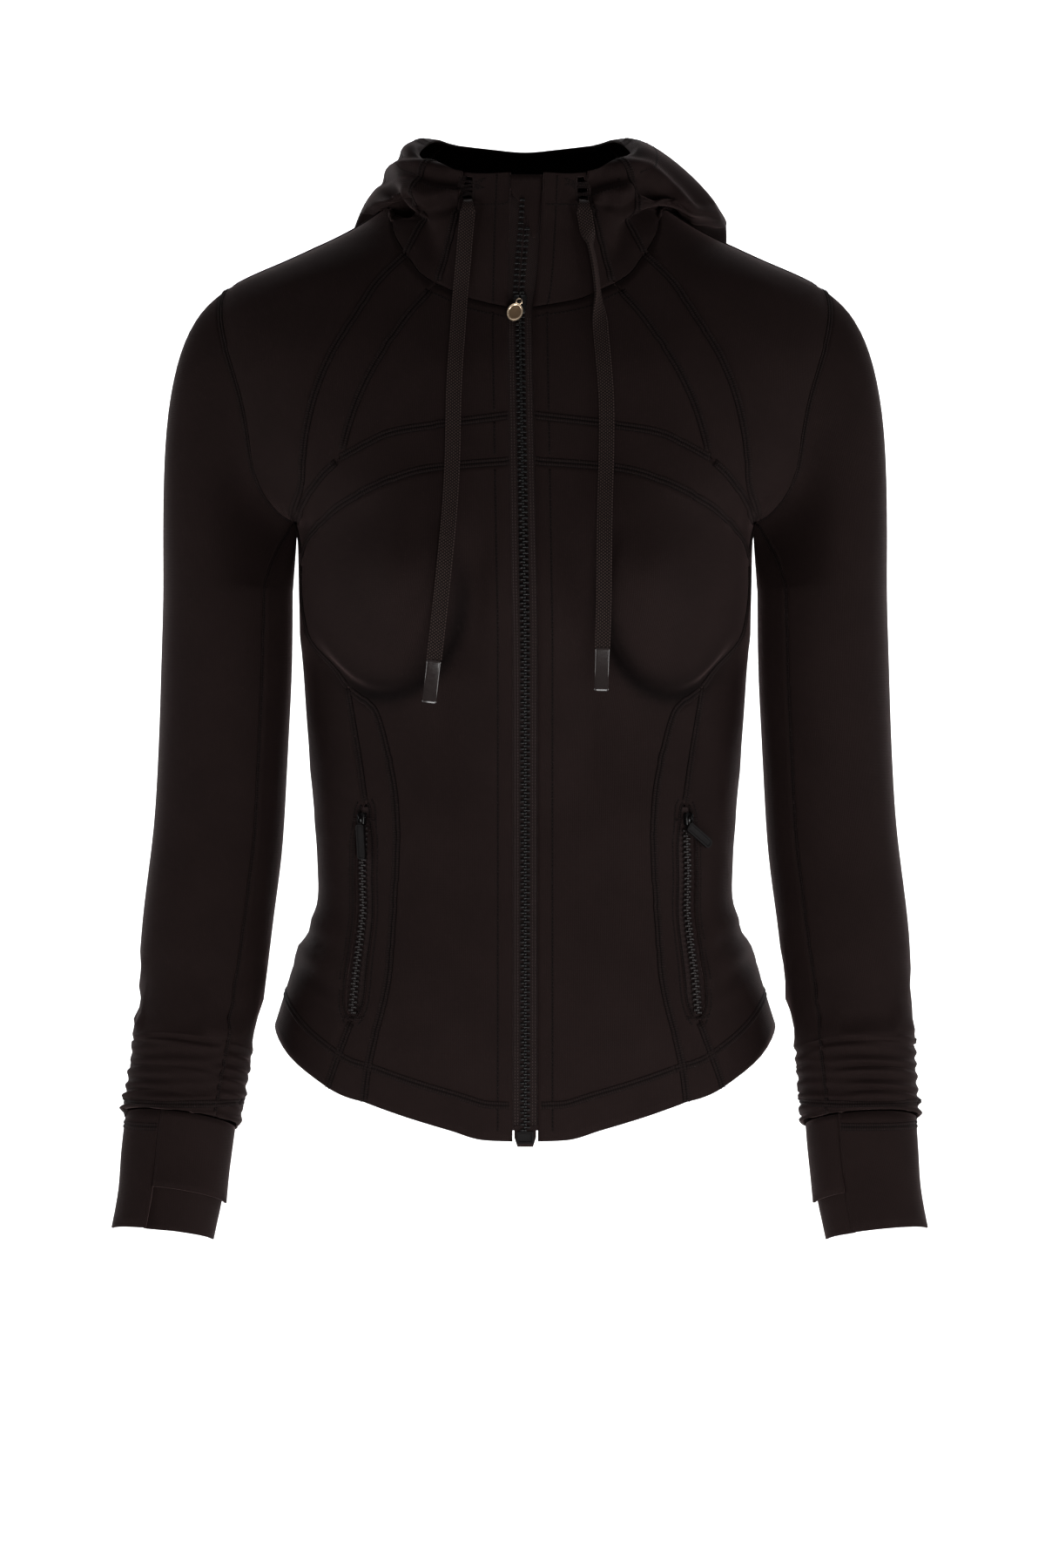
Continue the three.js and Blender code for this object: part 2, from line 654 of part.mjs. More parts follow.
// The folds that the pushed-up sleeve makes, from the top. `at` is the share of the way down the
// bunch, `out` is how far the crest stands out, and `tilt` is how far it slants round the wrist.
const bunchFolds = [
  { at: 0.05, out: 1.7, tilt: 1.0 },
  { at: 0.21, out: 2.6, tilt: -1.2 },
  { at: 0.37, out: 2.0, tilt: 1.3 },
  { at: 0.53, out: 2.9, tilt: -0.6 },
  { at: 0.68, out: 2.1, tilt: 0.9 },
  { at: 0.83, out: 2.8, tilt: -0.8 },
  { at: 0.965, out: 2.4, tilt: 0 },
];
const bunchValley = -1.5;

function armFrame(side, down) {
  const centre = (at) => {
    const lean = wrists[side].lean * easeIn(at, 480, 590);
    const out = read(armStations, "down", at, "out") + lean;
    return new THREE.Vector3(side * out, -read(armStations, "down", at, "forward"), -at);
  };
  const axis = centre(down + 4).sub(centre(down - 4)).normalize();
  const outwards = new THREE.Vector3(side, 0, 0).addScaledVector(axis, -side * axis.x).normalize();
  const forwards = new THREE.Vector3(0, -1, 0).addScaledVector(axis, axis.y).normalize();
  return { centre: centre(down), axis, outwards, forwards };
}

// A point on the arm's tube. The angle runs from the outer side to the front, the inner side and
// the back. `swell` is added to its radius.
function armPoint(side, angle, down, swell = 0) {
  const { centre, outwards, forwards } = armFrame(side, down);
  const wide = read(armStations, "down", down, "wide") + swell;
  const deep = read(armStations, "down", down, "deep") + swell;
  return centre
    .addScaledVector(outwards, wide * Math.cos(radians(angle)))
    .addScaledVector(forwards, deep * Math.sin(radians(angle)));
}

// The sleeve's cap: from the armhole (share 0) to the first whole ring (share 1).
function capPoint(side, angle, share) {
  const fold = folded(angle);
  const turn = side * armholeTurn(angle);
  const start = torsoPoint(turn, armholeUp(angle));
  const end = armPoint(side, angle, sleeveTop);
  const step = 1;
  const before = torsoPoint(side * armholeTurn(angle - step), armholeUp(angle - step));
  const after = torsoPoint(side * armholeTurn(angle + step), armholeUp(angle + step));
  const leaving = torsoOut(turn, armholeUp(angle)).cross(after.sub(before)).normalize();
  if (leaving.x * side < 0) leaving.negate();
  leaving.lerp(new THREE.Vector3(side, 0, -0.4).normalize(), 0.55);
  leaving.lerp(new THREE.Vector3(0, 0, -1), easeIn(fold, 95, 165)).normalize();
  const reach = start.distanceTo(end);
  const arriving = armFrame(side, sleeveTop).axis;
  const t = share;
  return start.multiplyScalar(1 - t * t * (3 - 2 * t))
    .addScaledVector(end, t * t * (3 - 2 * t))
    .addScaledVector(leaving, reach * 0.8 * t * (1 - t) * (1 - t))
    .addScaledVector(arriving, -reach * 0.8 * t * t * (1 - t));
}

// The sleeve's smooth surface. `run` is 0 to 1 over the cap, then the distance down below it.
function sleeveSurface(side) {
  const base = (angle, run) => (
    run <= 1 ? capPoint(side, angle, run) : armPoint(side, angle, sleeveTop + run - 1));
  const out = (angle, run) => {
    const stretch = run <= 1 ? 0.02 : 3;
    const low = run > 1 ? Math.max(run - stretch, 1.001) : Math.max(run - stretch, 0);
    const high = run > 1 ? run + stretch : Math.min(run + stretch, 1);
    const around = base(angle + 1, run).sub(base(angle - 1, run));
    const along = base(angle, high).sub(base(angle, low));
    const normal = around.cross(along).normalize().multiplyScalar(side);
    return normal;
  };
  return { at: base, out };
}

// Rows down the bunch: a crest and a valley for each fold. Each row gives its place and its swell.
const bunchRows = bunchFolds.flatMap((fold, i) => {
  const next = bunchFolds[i + 1];
  const crest = { at: fold.at, swell: fold.out, tilt: fold.tilt };
  if (!next) return [crest, { at: 1, swell: bunchValley, tilt: 0 }];
  const valley = { at: (fold.at + next.at) / 2, swell: bunchValley, tilt: (fold.tilt + next.tilt) / 2 };
  return [crest, valley];
});

function addSleeve({ side, tag }) {
  const smooth = sleeveSurface(side);
  const capRows = [0, 0.12, 0.27, 0.45, 0.64, 0.83];
  const straightRows = evenly(7).map((share) => mix(sleeveTop, bunchTop - 3, share));
  const rows = [
    ...capRows.map((share) => ({ run: share, swell: 0, tilt: 0 })),
    ...straightRows.map((down) => ({ run: 1 + down - sleeveTop, swell: 0, tilt: 0 })),
    ...bunchRows.map(({ at, swell, tilt }) => (
      { run: 1 + mix(bunchTop, bunchBottom, at) - sleeveTop, swell, tilt })),
  ];
  const surface = {
    at: (angle, i) => {
      const { run, swell, tilt } = rows[i];
      if (run <= 1) return smooth.at(angle, run);
      const slant = tilt * Math.cos(radians(angle - 60));
      return armPoint(side, angle, sleeveTop + run - 1 + slant, swell);
    },
    out: (angle, i) => smooth.out(angle, rows[i].run),
  };
  const grid = (angles) => rows.map((_, i) => angles.map((angle) => [angle, i]));
  const backAngles = upperAngles.map((angle) => 360 - angle).reverse();
  const upper = [...backAngles.slice(0, -1).map((angle) => angle - 360), ...upperAngles];
  add(`sleeve_upper_${tag}`, wall(grid(upper), surface), jersey);
  add(`sleeve_under_${tag}`, wall(grid(underAngles), surface, { inset: torsoInset }), jersey);
}
sides.forEach(addSleeve);

// ---------- Cuffs ----------

// Each cuff comes out of the bunch. Its outer strip reaches the end of the sleeve. On the inner
// side the cloth is in two layers: a flap, and a narrower tip that shows below it.
const cuffSteps = 3;
const flapEnd = 607;
const cuffLayers = { strip: -2.2, flap: -2.2, tip: -4.2 };
const cuffRim = 1.2;               // the strip's and the flap's lower edges flare by this much

function addCuff({ side, tag }) {
  const seam = wrists[side].seam;
  const surface = (swell, flare, end) => ({
    at: (angle, down) => (
      armPoint(side, angle, down, swell + flare * easeIn(down, end - 14, end))),
    out: (angle, down) => {
      const { outwards, forwards } = armFrame(side, down);
      return outwards.multiplyScalar(Math.cos(radians(angle)))
        .addScaledVector(forwards, Math.sin(radians(angle)));
    },
  });
  const addPiece = (name, from, to, steps, top, end, layer, flare) => {
    const angles = evenly(steps).map((share) => mix(from, to, share));
    const rows = evenly(cuffSteps).map((share) => mix(top, end, share));
    const grid = rows.map((down) => angles.map((angle) => [angle, down]));
    add(`${name}_${tag}`, wall(grid, surface(cuffLayers[layer], flare, end)), jersey);
  };
  addPiece("cuff_strip", seam - 170, seam, 9, bunchBottom + 0.6, cuffEnd, "strip", cuffRim);
  addPiece("cuff_flap", seam, seam + 190, 10, bunchBottom + 0.6, flapEnd, "flap", cuffRim);
  addPiece("cuff_tip", seam, seam + 190, 10, flapEnd - 12, cuffEnd, "tip", 0);
}
sides.forEach(addCuff);

// ---------- Collar and hood ----------

// Sections of the collar and the dropped hood, fanned out from the neck's axis, from the front to
// the back. `turn` is where the section meets the neckline. Its own angle at the brim is brimTurn.
// Each place is given by its distance from the axis and its height: the brim, the roll over the
// top, the belly, the low edge that lies on the shoulder or the back, and the tuck under it.
const hoodSections = [
  { turn: 3, brimTurn: 7.3, brimOut: 74, brimUp: 28, rollOut: 75.5, rollUp: 12, bellyOut: 77,
    bellyUp: -6, lowOut: 78.5, lowUp: -24, tuckOut: 79.5, tuckUp: -41 },
  { turn: 12, brimTurn: 19, brimOut: 71, brimUp: 28, rollOut: 73.5, rollUp: 12, bellyOut: 77,
    bellyUp: -5, lowOut: 80.5, lowUp: -21, tuckOut: 83, tuckUp: -37 },
  { turn: 18.8, brimTurn: 34, brimOut: 68, brimUp: 30, rollOut: 71.5, rollUp: 16, bellyOut: 76,
    bellyUp: 2, lowOut: 80, lowUp: -12, tuckOut: 84, tuckUp: -27 },
  { turn: 25, brimTurn: 44, brimOut: 69, brimUp: 33, rollOut: 75, rollUp: 27, bellyOut: 82,
    bellyUp: 14, lowOut: 80, lowUp: 2, tuckOut: 80, tuckUp: -10 },
  { turn: 31, brimTurn: 54, brimOut: 71, brimUp: 38, rollOut: 79, rollUp: 35, bellyOut: 88,
    bellyUp: 20, lowOut: 87, lowUp: 6, tuckOut: 79, tuckUp: 3 },
  { turn: 47, brimTurn: 70, brimOut: 69, brimUp: 45, rollOut: 76, rollUp: 47, bellyOut: 87,
    bellyUp: 31, lowOut: 92, lowUp: 14, tuckOut: 82, tuckUp: 9 },
  { turn: 69, brimTurn: 88, brimOut: 65, brimUp: 50, rollOut: 73, rollUp: 54, bellyOut: 85,
    bellyUp: 37, lowOut: 98, lowUp: 15, tuckOut: 91, tuckUp: 12 },
  { turn: 90, brimTurn: 107, brimOut: 62, brimUp: 58, rollOut: 70, rollUp: 60, bellyOut: 90,
    bellyUp: 38, lowOut: 106, lowUp: 11, tuckOut: 96, tuckUp: 10 },
  { turn: 112, brimTurn: 128, brimOut: 68, brimUp: 62, rollOut: 78, rollUp: 62, bellyOut: 110,
    bellyUp: 29, lowOut: 127, lowUp: -26, tuckOut: 104, tuckUp: -12 },
  { turn: 138, brimTurn: 150, brimOut: 82, brimUp: 62, rollOut: 95, rollUp: 60, bellyOut: 136,
    bellyUp: 10, lowOut: 138, lowUp: -85, tuckOut: 99, tuckUp: -45 },
  { turn: 180, brimTurn: 180, brimOut: 88, brimUp: 60, rollOut: 101, rollUp: 57, bellyOut: 146,
    bellyUp: -4, lowOut: 142, lowUp: -112, tuckOut: 94, tuckUp: -62 },
];
// The hood has slumped further to the wearer's left.
const slump = { turn: 84, reach: 30, belly: 20, low: 24, drop: 9 };

function neckPlace(turn) {
  if (turn >= 90) return curveOf(seamRows.backNeck).getPoint((turn - 90) / 90).y;
  const rows = [...seamRows.neckToPrincess, ...seamRows.neckToShoulderSeam.slice(1),
    ...seamRows.neckToRidge.slice(1)];
  return read(rows, "turn", turn, "up");
}

const polar = (point) => ({
  angle: THREE.MathUtils.radToDeg(Math.atan2(Math.abs(point.x), neckAxisY - point.y)),
  out: Math.hypot(point.x, point.y - neckAxisY),
});

// How far the back reaches from the neck's axis, in one direction and at one height.
function backReach(angle, up) {
  let low = 90.01;
  let high = 180;
  for (let i = 0; i < 24; i++) {
    const middle = (low + high) / 2;
    if (polar(torsoPoint(middle, up)).angle < angle) low = middle;
    else high = middle;
  }
  return polar(torsoPoint(low, up)).out;
}

// A point on the hood. `turn` picks the section, `up` is where it meets the neckline, and `drop`
// runs from the brim (0) to the neckline (1).
function hoodPoint(side, turn, up, drop) {
  const column = (name) => read(hoodSections, "turn", turn, name);
  const seam = polar(torsoPoint(turn > 90 ? turn : Math.min(turn, 89.99), up));
  const lean = side > 0 ? bump(turn - slump.turn, slump.reach) : 0;
  const behind = easeIn(turn, 80, 110);
  const tuck = [column("tuckOut"), column("tuckUp")];
  const riseUp = mix(mix(tuck[1], up, 0.55), up + 6, behind);
  const places = [
    [column("brimOut"), column("brimUp")],
    [column("rollOut"), column("rollUp")],
    [column("bellyOut") + slump.belly * lean, column("bellyUp") - 0.5 * slump.drop * lean],
    [column("lowOut") + slump.low * lean, column("lowUp") - slump.drop * lean],
    tuck,
    [mix(tuck[0], seam.out, 0.6), riseUp],
    [seam.out, up],
  ];
  const profile = new THREE.CatmullRomCurve3(
    places.map(([out, height]) => new THREE.Vector3(out, height, 0)), false, "centripetal");
  const place = profile.getPoint(drop);
  const angle = mix(column("brimTurn"), seam.angle, drop);
  const lying = behind * easeIn(drop, 0.35, 0.5) * (1 - easeIn(drop, 0.9, 0.99));
  const clear = lying > 0 ? backReach(angle, place.y) + hoodClearance : 0;
  const out = Math.max(place.x, mix(place.x, clear, lying));
  const sway = side * zipX(hoodSections[0].brimUp) * bump(turn, 9) * (1 - drop);
  const x = out * Math.sin(radians(angle)) + sway;
  return new THREE.Vector3(side * x, neckAxisY - out * Math.cos(radians(angle)), place.y);
}

// The hood's surface over a row of neckline places: [index of the place, drop].
function hoodSurface(side, places) {
  const on = (turn, drop) => hoodPoint(side, turn, neckPlace(turn), drop);
  const at = (index, drop) => hoodPoint(side, ...places[index], drop);
  const out = (index, drop) => {
    const turn = places[index][0];
    const across = on(Math.min(turn + 0.6, 180), drop).sub(on(Math.max(turn - 0.6, 2), drop));
    const down = on(turn, Math.min(drop + 0.01, 1)).sub(on(turn, Math.max(drop - 0.01, 0)));
    return down.cross(across).normalize().multiplyScalar(side);
  };
  return { at, out };
}

const collarRows = [0, 0.03, 0.1, 0.19, 0.32, 0.46, 0.62, 0.8, 1];
const hoodRows = [0, 0.07, 0.15, 0.23, 0.31, 0.4, 0.49, 0.57, 0.65, 0.74, 0.83, 0.92, 1];
const buttonhole = { column: 4, top: 1, bottom: 3 };
const hoodClearance = 3.5;         // between the hood's underside and the back
const hoodCentreTurn = 134;        // where the hood's centre piece begins on the neckline

const backNeckPlaces = (from, to, steps) => (
  evenly(steps).map((share) => {
    const turn = mix(from, to, share);
    return [turn, neckPlace(turn)];
  }));

function addHood() {
  const gridOf = (rows, places) => rows.map((drop) => places.map((_, index) => [index, drop]));
  for (const { side, tag } of sides) {
    const build = (name, places, rows, skip) => {
      const surface = hoodSurface(side, places);
      add(`${name}_${tag}`, wall(gridOf(rows, places), surface, { inset: torsoInset, skip }), jersey);
    };
    const isButtonhole = (i, j) => (
      j === buttonhole.column && i >= buttonhole.top && i < buttonhole.bottom);
    build("collar_front", fromFrontEdge(side, seamRows.neckToPrincess, frontColumns),
      collarRows, isButtonhole);
    build("hood_gusset", seamPlaces("neckToShoulderSeam"), hoodRows);
    build("hood_side", join(along(seamRows.neckToRidge, ridgeColumns),
      backNeckPlaces(90, hoodCentreTurn, 3)), hoodRows);
  }
  const half = backNeckPlaces(hoodCentreTurn, 180, 3);
  const left = hoodSurface(1, half);
  const right = hoodSurface(-1, half);
  const last = half.length - 1;
  const pick = (index) => (index > last ? [right, 2 * last - index] : [left, index]);
  const through = (name) => (index, drop) => {
    const [surface, place] = pick(index);
    return surface[name](place, drop);
  };
  const centre = { at: through("at"), out: through("out") };
  const grid = hoodRows.map((drop) => evenly(2 * last).map((share) => [share * 2 * last, drop]));
  add("hood_centre", wall(grid, centre, { inset: torsoInset }), jersey);
}
addHood();

// The back is one piece, from armhole to armhole and between the two side panels.
function addBack() {
  const across = (places) => {
    const mirrored = places.map(([turn, up]) => [360 - turn, up]).reverse();
    return join(places, mirrored);
  };
  const ridge = evenly(6).map((share) => [90.02, mix(neckRidgeUp, shoulderTip, share)]);
  const armhole = upperAngles.map((angle) => [90.01, armholeUp(angle)]);
  const backNeck = join(backNeckPlaces(90, hoodCentreTurn, 3), backNeckPlaces(hoodCentreTurn, 180, 3));
  const sideRows = seamSteps.armpitToArch + seamSteps.sideCurve + lowerRows.length;
  const left = join(ridge, armhole, along(seamRows.backSeam, evenly(sideRows - 1)));
  const right = left.map(([turn, up]) => [360 - turn, up]);
  const grid = patch(across(backNeck), across(seamPlaces("hemBack")), left, right);
  const signed = grid.map((row) => row.map(([turn, up]) => [turn > 180 ? turn - 360 : turn, up]));
  add("back", wall(signed, torso, { inset: ridgeInset }), jersey);
}
addBack();

// ---------- The front's face, which the zip follows ----------

// A point in front of the body's middle: on the torso below the neckline, on the collar above it.
const neckFrontUp = seamRows.neckToPrincess[0].up;
const collarFace = [
  { up: neckFrontUp, out: 80 },
  { up: hoodSections[0].lowUp, out: hoodSections[0].lowOut },
  { up: hoodSections[0].rollUp, out: hoodSections[0].rollOut },
  { up: hoodSections[0].brimUp, out: hoodSections[0].brimOut },
];
function facePoint(x, up) {
  if (up <= neckFrontUp) return torsoPoint(turnAt(x, up), up);
  const out = read(collarFace, "up", up, "out");
  return new THREE.Vector3(x, neckAxisY - Math.sqrt(out * out - x * x), up);
}
function faceOut(x, up) {
  const across = facePoint(x + 1, up).sub(facePoint(x - 1, up));
  const upwards = facePoint(x, up + 2).sub(facePoint(x, up - 2));
  return across.cross(upwards).normalize();
}

// A surface that lies `lift` in front of another one, or behind it where lift is negative.
const lifted = (surface, lift) => ({
  at: (u, v) => surface.at(u, v).addScaledVector(surface.out(u, v), lift),
  out: surface.out,
});
const face = { at: facePoint, out: faceOut };

// ---------- The main zip ----------

const zip = {
  bottom: -563,
  tapeTop: 16,
  pin: -52.5,                      // the height of the pull's hinge pin
  teethHalf: 2.9,
  teethFace: 0.6,
};
const sliderTop = 3.6;             // above the hinge pin
const sliderBottom = -9.2;

const closedTeeth = { steps: 24, depth: 2.2 };
// The teeth above the slider: their distances from the zip's centre line, and where they start.
const openTeeth = {
  depth: 1.4,
  right: { top: 13, steps: 5, from: -3.6, to: -1.6 },
  left: { top: -7, steps: 4, from: -1.1, to: 2.2 },
};

// A strip beside the zip's centre line, between two distances from it.
function addTeeth(name, heights, from, to, depth) {
  const grid = heights.map((up) => [[zipX(up) + from, up], [zipX(up) + to, up]]);
  const surface = lifted(face, zip.teethFace);
  add(name, wall(grid, surface, { thickness: depth, inset: 0 }), teethPlastic);
}
const heightsDown = (top, bottom, steps) => evenly(steps).map((share) => mix(top, bottom, share));

// How far each tape reaches from the zip's centre, and how far behind the front's face it lies.
const tapeRows = [
  { up: zip.bottom, reach: 15, behind: 2.1 },
  { up: -75, reach: 15, behind: 2.1 },
  { up: -57, reach: 13.5, behind: 2.6 },
  { up: zip.tapeTop, reach: 13, behind: 3 },
];
function addMainZip() {
  const tapeHeights = [...heightsDown(zip.tapeTop, neckFrontUp, 4),
    ...heightsDown(neckFrontUp, zip.bottom, 24).slice(1)];
  for (const { side, tag } of sides) {
    const surface = {
      at: (x, up) => lifted(face, -read(tapeRows, "up", up, "behind")).at(x, up),
      out: face.out,
    };
    const grid = tapeHeights.map((up) => {
      const reach = read(tapeRows, "up", up, "reach");
      return [side < 0 ? -reach : 0.3, side < 0 ? -0.3 : reach].map((x) => [zipX(up) + x, up]);
    });
    add(`zip_tape_${tag}`, wall(grid, surface, { thickness: tapeThickness, inset: 0 }), tapeCloth);
  }
  const closedTop = zip.pin + sliderBottom - 0.4;
  const closedHeights = heightsDown(closedTop, zip.bottom, closedTeeth.steps);
  addTeeth("zip_teeth", closedHeights, -zip.teethHalf, zip.teethHalf, closedTeeth.depth);
  const openBottom = zip.pin + sliderTop + 0.4;
  for (const { tag } of sides) {
    const { top, steps, from, to } = openTeeth[tag];
    addTeeth(`zip_teeth_open_${tag}`, heightsDown(top, openBottom, steps), from, to, openTeeth.depth);
  }
}
addMainZip();

// The tongue of cloth that covers the top of the zip, from the left collar edge.
const guardRows = [
  { up: 26.5, left: -5.5, right: 11 },
  { up: 10, left: -3, right: 9.8 },
  { up: -3, left: 1.6, right: 8.2 },
  { up: -13, left: 4.6, right: 6.6 },
];
function addZipGuard() {
  const grid = guardRows.map(({ up, left, right }) => (
    [0, 0.5, 1].map((share) => [mix(left, right, share), up])));
  add("zip_guard", wall(grid, lifted(face, -1), { thickness: 0.8, inset: 0 }), jersey);
}
addZipGuard();

// ---------- Sliders and pulls ----------

const solidOf = (geometry) => {
  geometry.deleteAttribute("normal");
  geometry.deleteAttribute("uv");
  const merged = mergeVertices(geometry, 1e-4);
  return new wasm.Manifold(new wasm.Mesh({
    numProp: 3,
    vertProperties: new Float32Array(merged.attributes.position.array),
    triVerts: new Uint32Array(merged.index.array),
  }));
};
function union(first, second) {
  const mesh = solidOf(first).add(solidOf(second)).getMesh();
  const geometry = new THREE.BufferGeometry();
  geometry.setAttribute("position", new THREE.BufferAttribute(mesh.vertProperties, 3));
  geometry.setIndex(new THREE.BufferAttribute(mesh.triVerts, 1));
  geometry.computeVertexNormals();
  return geometry;
}

// A flat plate: `shape` is drawn as seen from the front, and it spans the given depths outwards.
function plate(shape, from, to) {
  const flat = { depth: to - from, bevelEnabled: false, curveSegments: 8 };
  return new THREE.ExtrudeGeometry(shape, flat).rotateX(Math.PI / 2).translate(0, -from, 0);
}
function rectangle(left, right, bottom, top) {
  return new THREE.Shape([
    new THREE.Vector2(left, bottom), new THREE.Vector2(right, bottom),
    new THREE.Vector2(right, top), new THREE.Vector2(left, top),
  ]);
}

// The slider stands on the teeth. Its bridge holds the pull's pin, at the origin.
const pinDepth = 3.4;              // the pin's distance in front of the cloth
const pinHalf = 0.5;
const bridge = { half: 1, inner: 2.1, outer: 3.2, low: 2.3, high: 4.5, front: 5.5 };
function sliderGeometry(size) {
  const outline = new THREE.Shape([
    new THREE.Vector2(-4.4, sliderTop - 1.5), new THREE.Vector2(-3.2, -7.4),
    new THREE.Vector2(-2.6, sliderBottom), new THREE.Vector2(2.6, sliderBottom),
    new THREE.Vector2(3.2, -7.4), new THREE.Vector2(4.4, sliderTop - 1.5),
    new THREE.Vector2(3.4, sliderTop), new THREE.Vector2(-3.4, sliderTop),
  ]);
  const body = plate(outline, -0.8, 2.2);
  const arch = new THREE.Shape([
    new THREE.Vector2(1.5, -bridge.outer), new THREE.Vector2(bridge.high, -bridge.outer),
    new THREE.Vector2(bridge.front, -bridge.inner), new THREE.Vector2(bridge.front, bridge.inner),
    new THREE.Vector2(bridge.high, bridge.outer), new THREE.Vector2(1.5, bridge.outer),
    new THREE.Vector2(1.5, bridge.inner), new THREE.Vector2(bridge.high, bridge.inner),
    new THREE.Vector2(bridge.high, -bridge.inner), new THREE.Vector2(1.5, -bridge.inner),
  ]);
  const bar = new THREE.ExtrudeGeometry(arch, { depth: 2 * bridge.half, bevelEnabled: false });
  bar.applyMatrix4(new THREE.Matrix4().set(
    0, 0, -1, bridge.half,
    -1, 0, 0, 0,
    0, 1, 0, 0,
    0, 0, 0, 1));
  return union(body, bar).scale(size, 1, size);
}

// The pull's yoke passes round the bridge: its top bar is the hinge pin.
const yokeLength = 4.3;
function yoke(thickness) {
  const shape = rectangle(-2.8, 2.8, -yokeLength - 1, pinHalf);
  shape.holes.push(new THREE.Path([
    new THREE.Vector2(-1.6, -yokeLength), new THREE.Vector2(1.6, -yokeLength),
    new THREE.Vector2(1.6, -pinHalf), new THREE.Vector2(-1.6, -pinHalf),
  ]));
  return plate(shape, pinDepth - thickness / 2, pinDepth + thickness / 2);
}
function ovalPull(wide, tall, thickness) {
  const shape = new THREE.Shape();
  shape.absellipse(0, -yokeLength - tall / 2 + 0.6, wide / 2, tall / 2, 0, 2 * Math.PI);
  const disc = plate(shape, pinDepth - thickness / 2, pinDepth + thickness / 2);
  return union(yoke(thickness), disc);
}
// A long rubber pull. It may be bent sideways below the yoke by `swing` degrees.
function longPull(wide, long, thickness, swing) {
  const half = wide / 2;
  const shape = new THREE.Shape();
  shape.moveTo(-half, half * 0.6);
  shape.lineTo(-half, -long + half);
  shape.absarc(0, -long + half, half, Math.PI, 2 * Math.PI);
  shape.lineTo(half, half * 0.6);
  shape.lineTo(half * 0.5, half);
  shape.lineTo(-half * 0.5, half);
  const tail = plate(shape, pinDepth - thickness / 2, pinDepth + thickness / 2);
  tail.rotateY(-radians(swing)).translate(0, 0, -yokeLength - 0.8 - half * 0.5);
  return union(yoke(1), tail);
}

// A frame on the cloth: X to the wearer's left, Z up along the cloth and -Y outwards.
function clothFrame(surface, u, v, upwards) {
  const out = surface.out(u, v);
  const up = upwards.clone().addScaledVector(out, -out.dot(upwards)).normalize();
  const across = new THREE.Vector3().crossVectors(out.clone().negate(), up);
  const frame = new THREE.Group();
  frame.position.copy(surface.at(u, v));
  frame.setRotationFromMatrix(new THREE.Matrix4().makeBasis(across, out.negate(), up));
  jacket.add(frame);
  return frame;
}

// The slider lies along the cloth just below its pin.
const sliderRest = 4;
function addMainSlider() {
  const frame = clothFrame(face, zipX(zip.pin), zip.pin - sliderRest, new THREE.Vector3(0, 0, 1));
  frame.name = "main_slider_frame";
  frame.translateZ(sliderRest);
  add("zip_slider", sliderGeometry(1), sliderMetal, frame);
  add("zip_pull", ovalPull(9.3, 14, 1.1), badgeMetal, frame);
}
addMainSlider();

const zipBox = { wide: 10.4, deep: 4, tall: 7.6, below: 4.2, behind: 0.8 };
function addZipBox() {
  const mesh = add("zip_box", new THREE.BoxGeometry(zipBox.wide, zipBox.deep, zipBox.tall), teethPlastic);
  mesh.position.copy(facePoint(0, zip.bottom - zipBox.below)).add(new THREE.Vector3(0, zipBox.behind, 0));
}
addZipBox();

// ---------- Pocket zips ----------

const pocketZip = { top: pocket.top - 1.5, bottom: pocket.bottom + 1.5, pin: -371, size: 0.62 };

// The outer waist seam as a surface: [distance sideways from the seam, height].
function pocketFace(side) {
  const rows = downBy(seamRows.outerWaist, evenly(40)).map(([turn, up]) => ({ turn, up })).reverse();
  const turnOf = (distance, up) => {
    const turn = read(rows, "up", up, "turn");
    const degree = torsoPoint(turn + 0.5, up).distanceTo(torsoPoint(turn - 0.5, up));
    return side * (turn + distance / degree);
  };
  return {
    at: (distance, up) => torsoPoint(turnOf(distance, up), up),
    out: (distance, up) => torsoOut(turnOf(distance, up), up),
  };
}

function addPocket({ side, tag }) {
  const surface = pocketFace(side);
  const strip = (name, half, top, lift, thickness, material) => {
    const grid = heightsDown(top, pocketZip.bottom, 9).map((up) => [[-half, up], [half, up]]);
    add(`${name}_${tag}`, wall(grid, lifted(surface, lift), { thickness, inset: 0 }), material);
  };
  strip("pocket_tape", 6, pocketZip.top, -tapeDepth - 0.6, 0.9, tapeCloth);
  const teethTop = pocketZip.pin + pocketZip.size * sliderBottom - 0.5;
  strip("pocket_teeth", 1.8, teethTop, 0, 1.7, teethPlastic);
  const seamUp = surface.at(0, pocketZip.pin + 8).sub(surface.at(0, pocketZip.pin - 8));
  const frame = clothFrame(surface, 0, pocketZip.pin, seamUp);
  frame.name = `pocket_frame_${tag}`;
  add(`pocket_slider_${tag}`, sliderGeometry(pocketZip.size), sliderMetal, frame);
  const swing = side > 0 ? 58 : 0;
  add(`pocket_pull_${tag}`, longPull(6.3, 22, 1.8, swing), pullRubber, frame);
}
sides.forEach(addPocket);

// ---------- Drawcords ----------

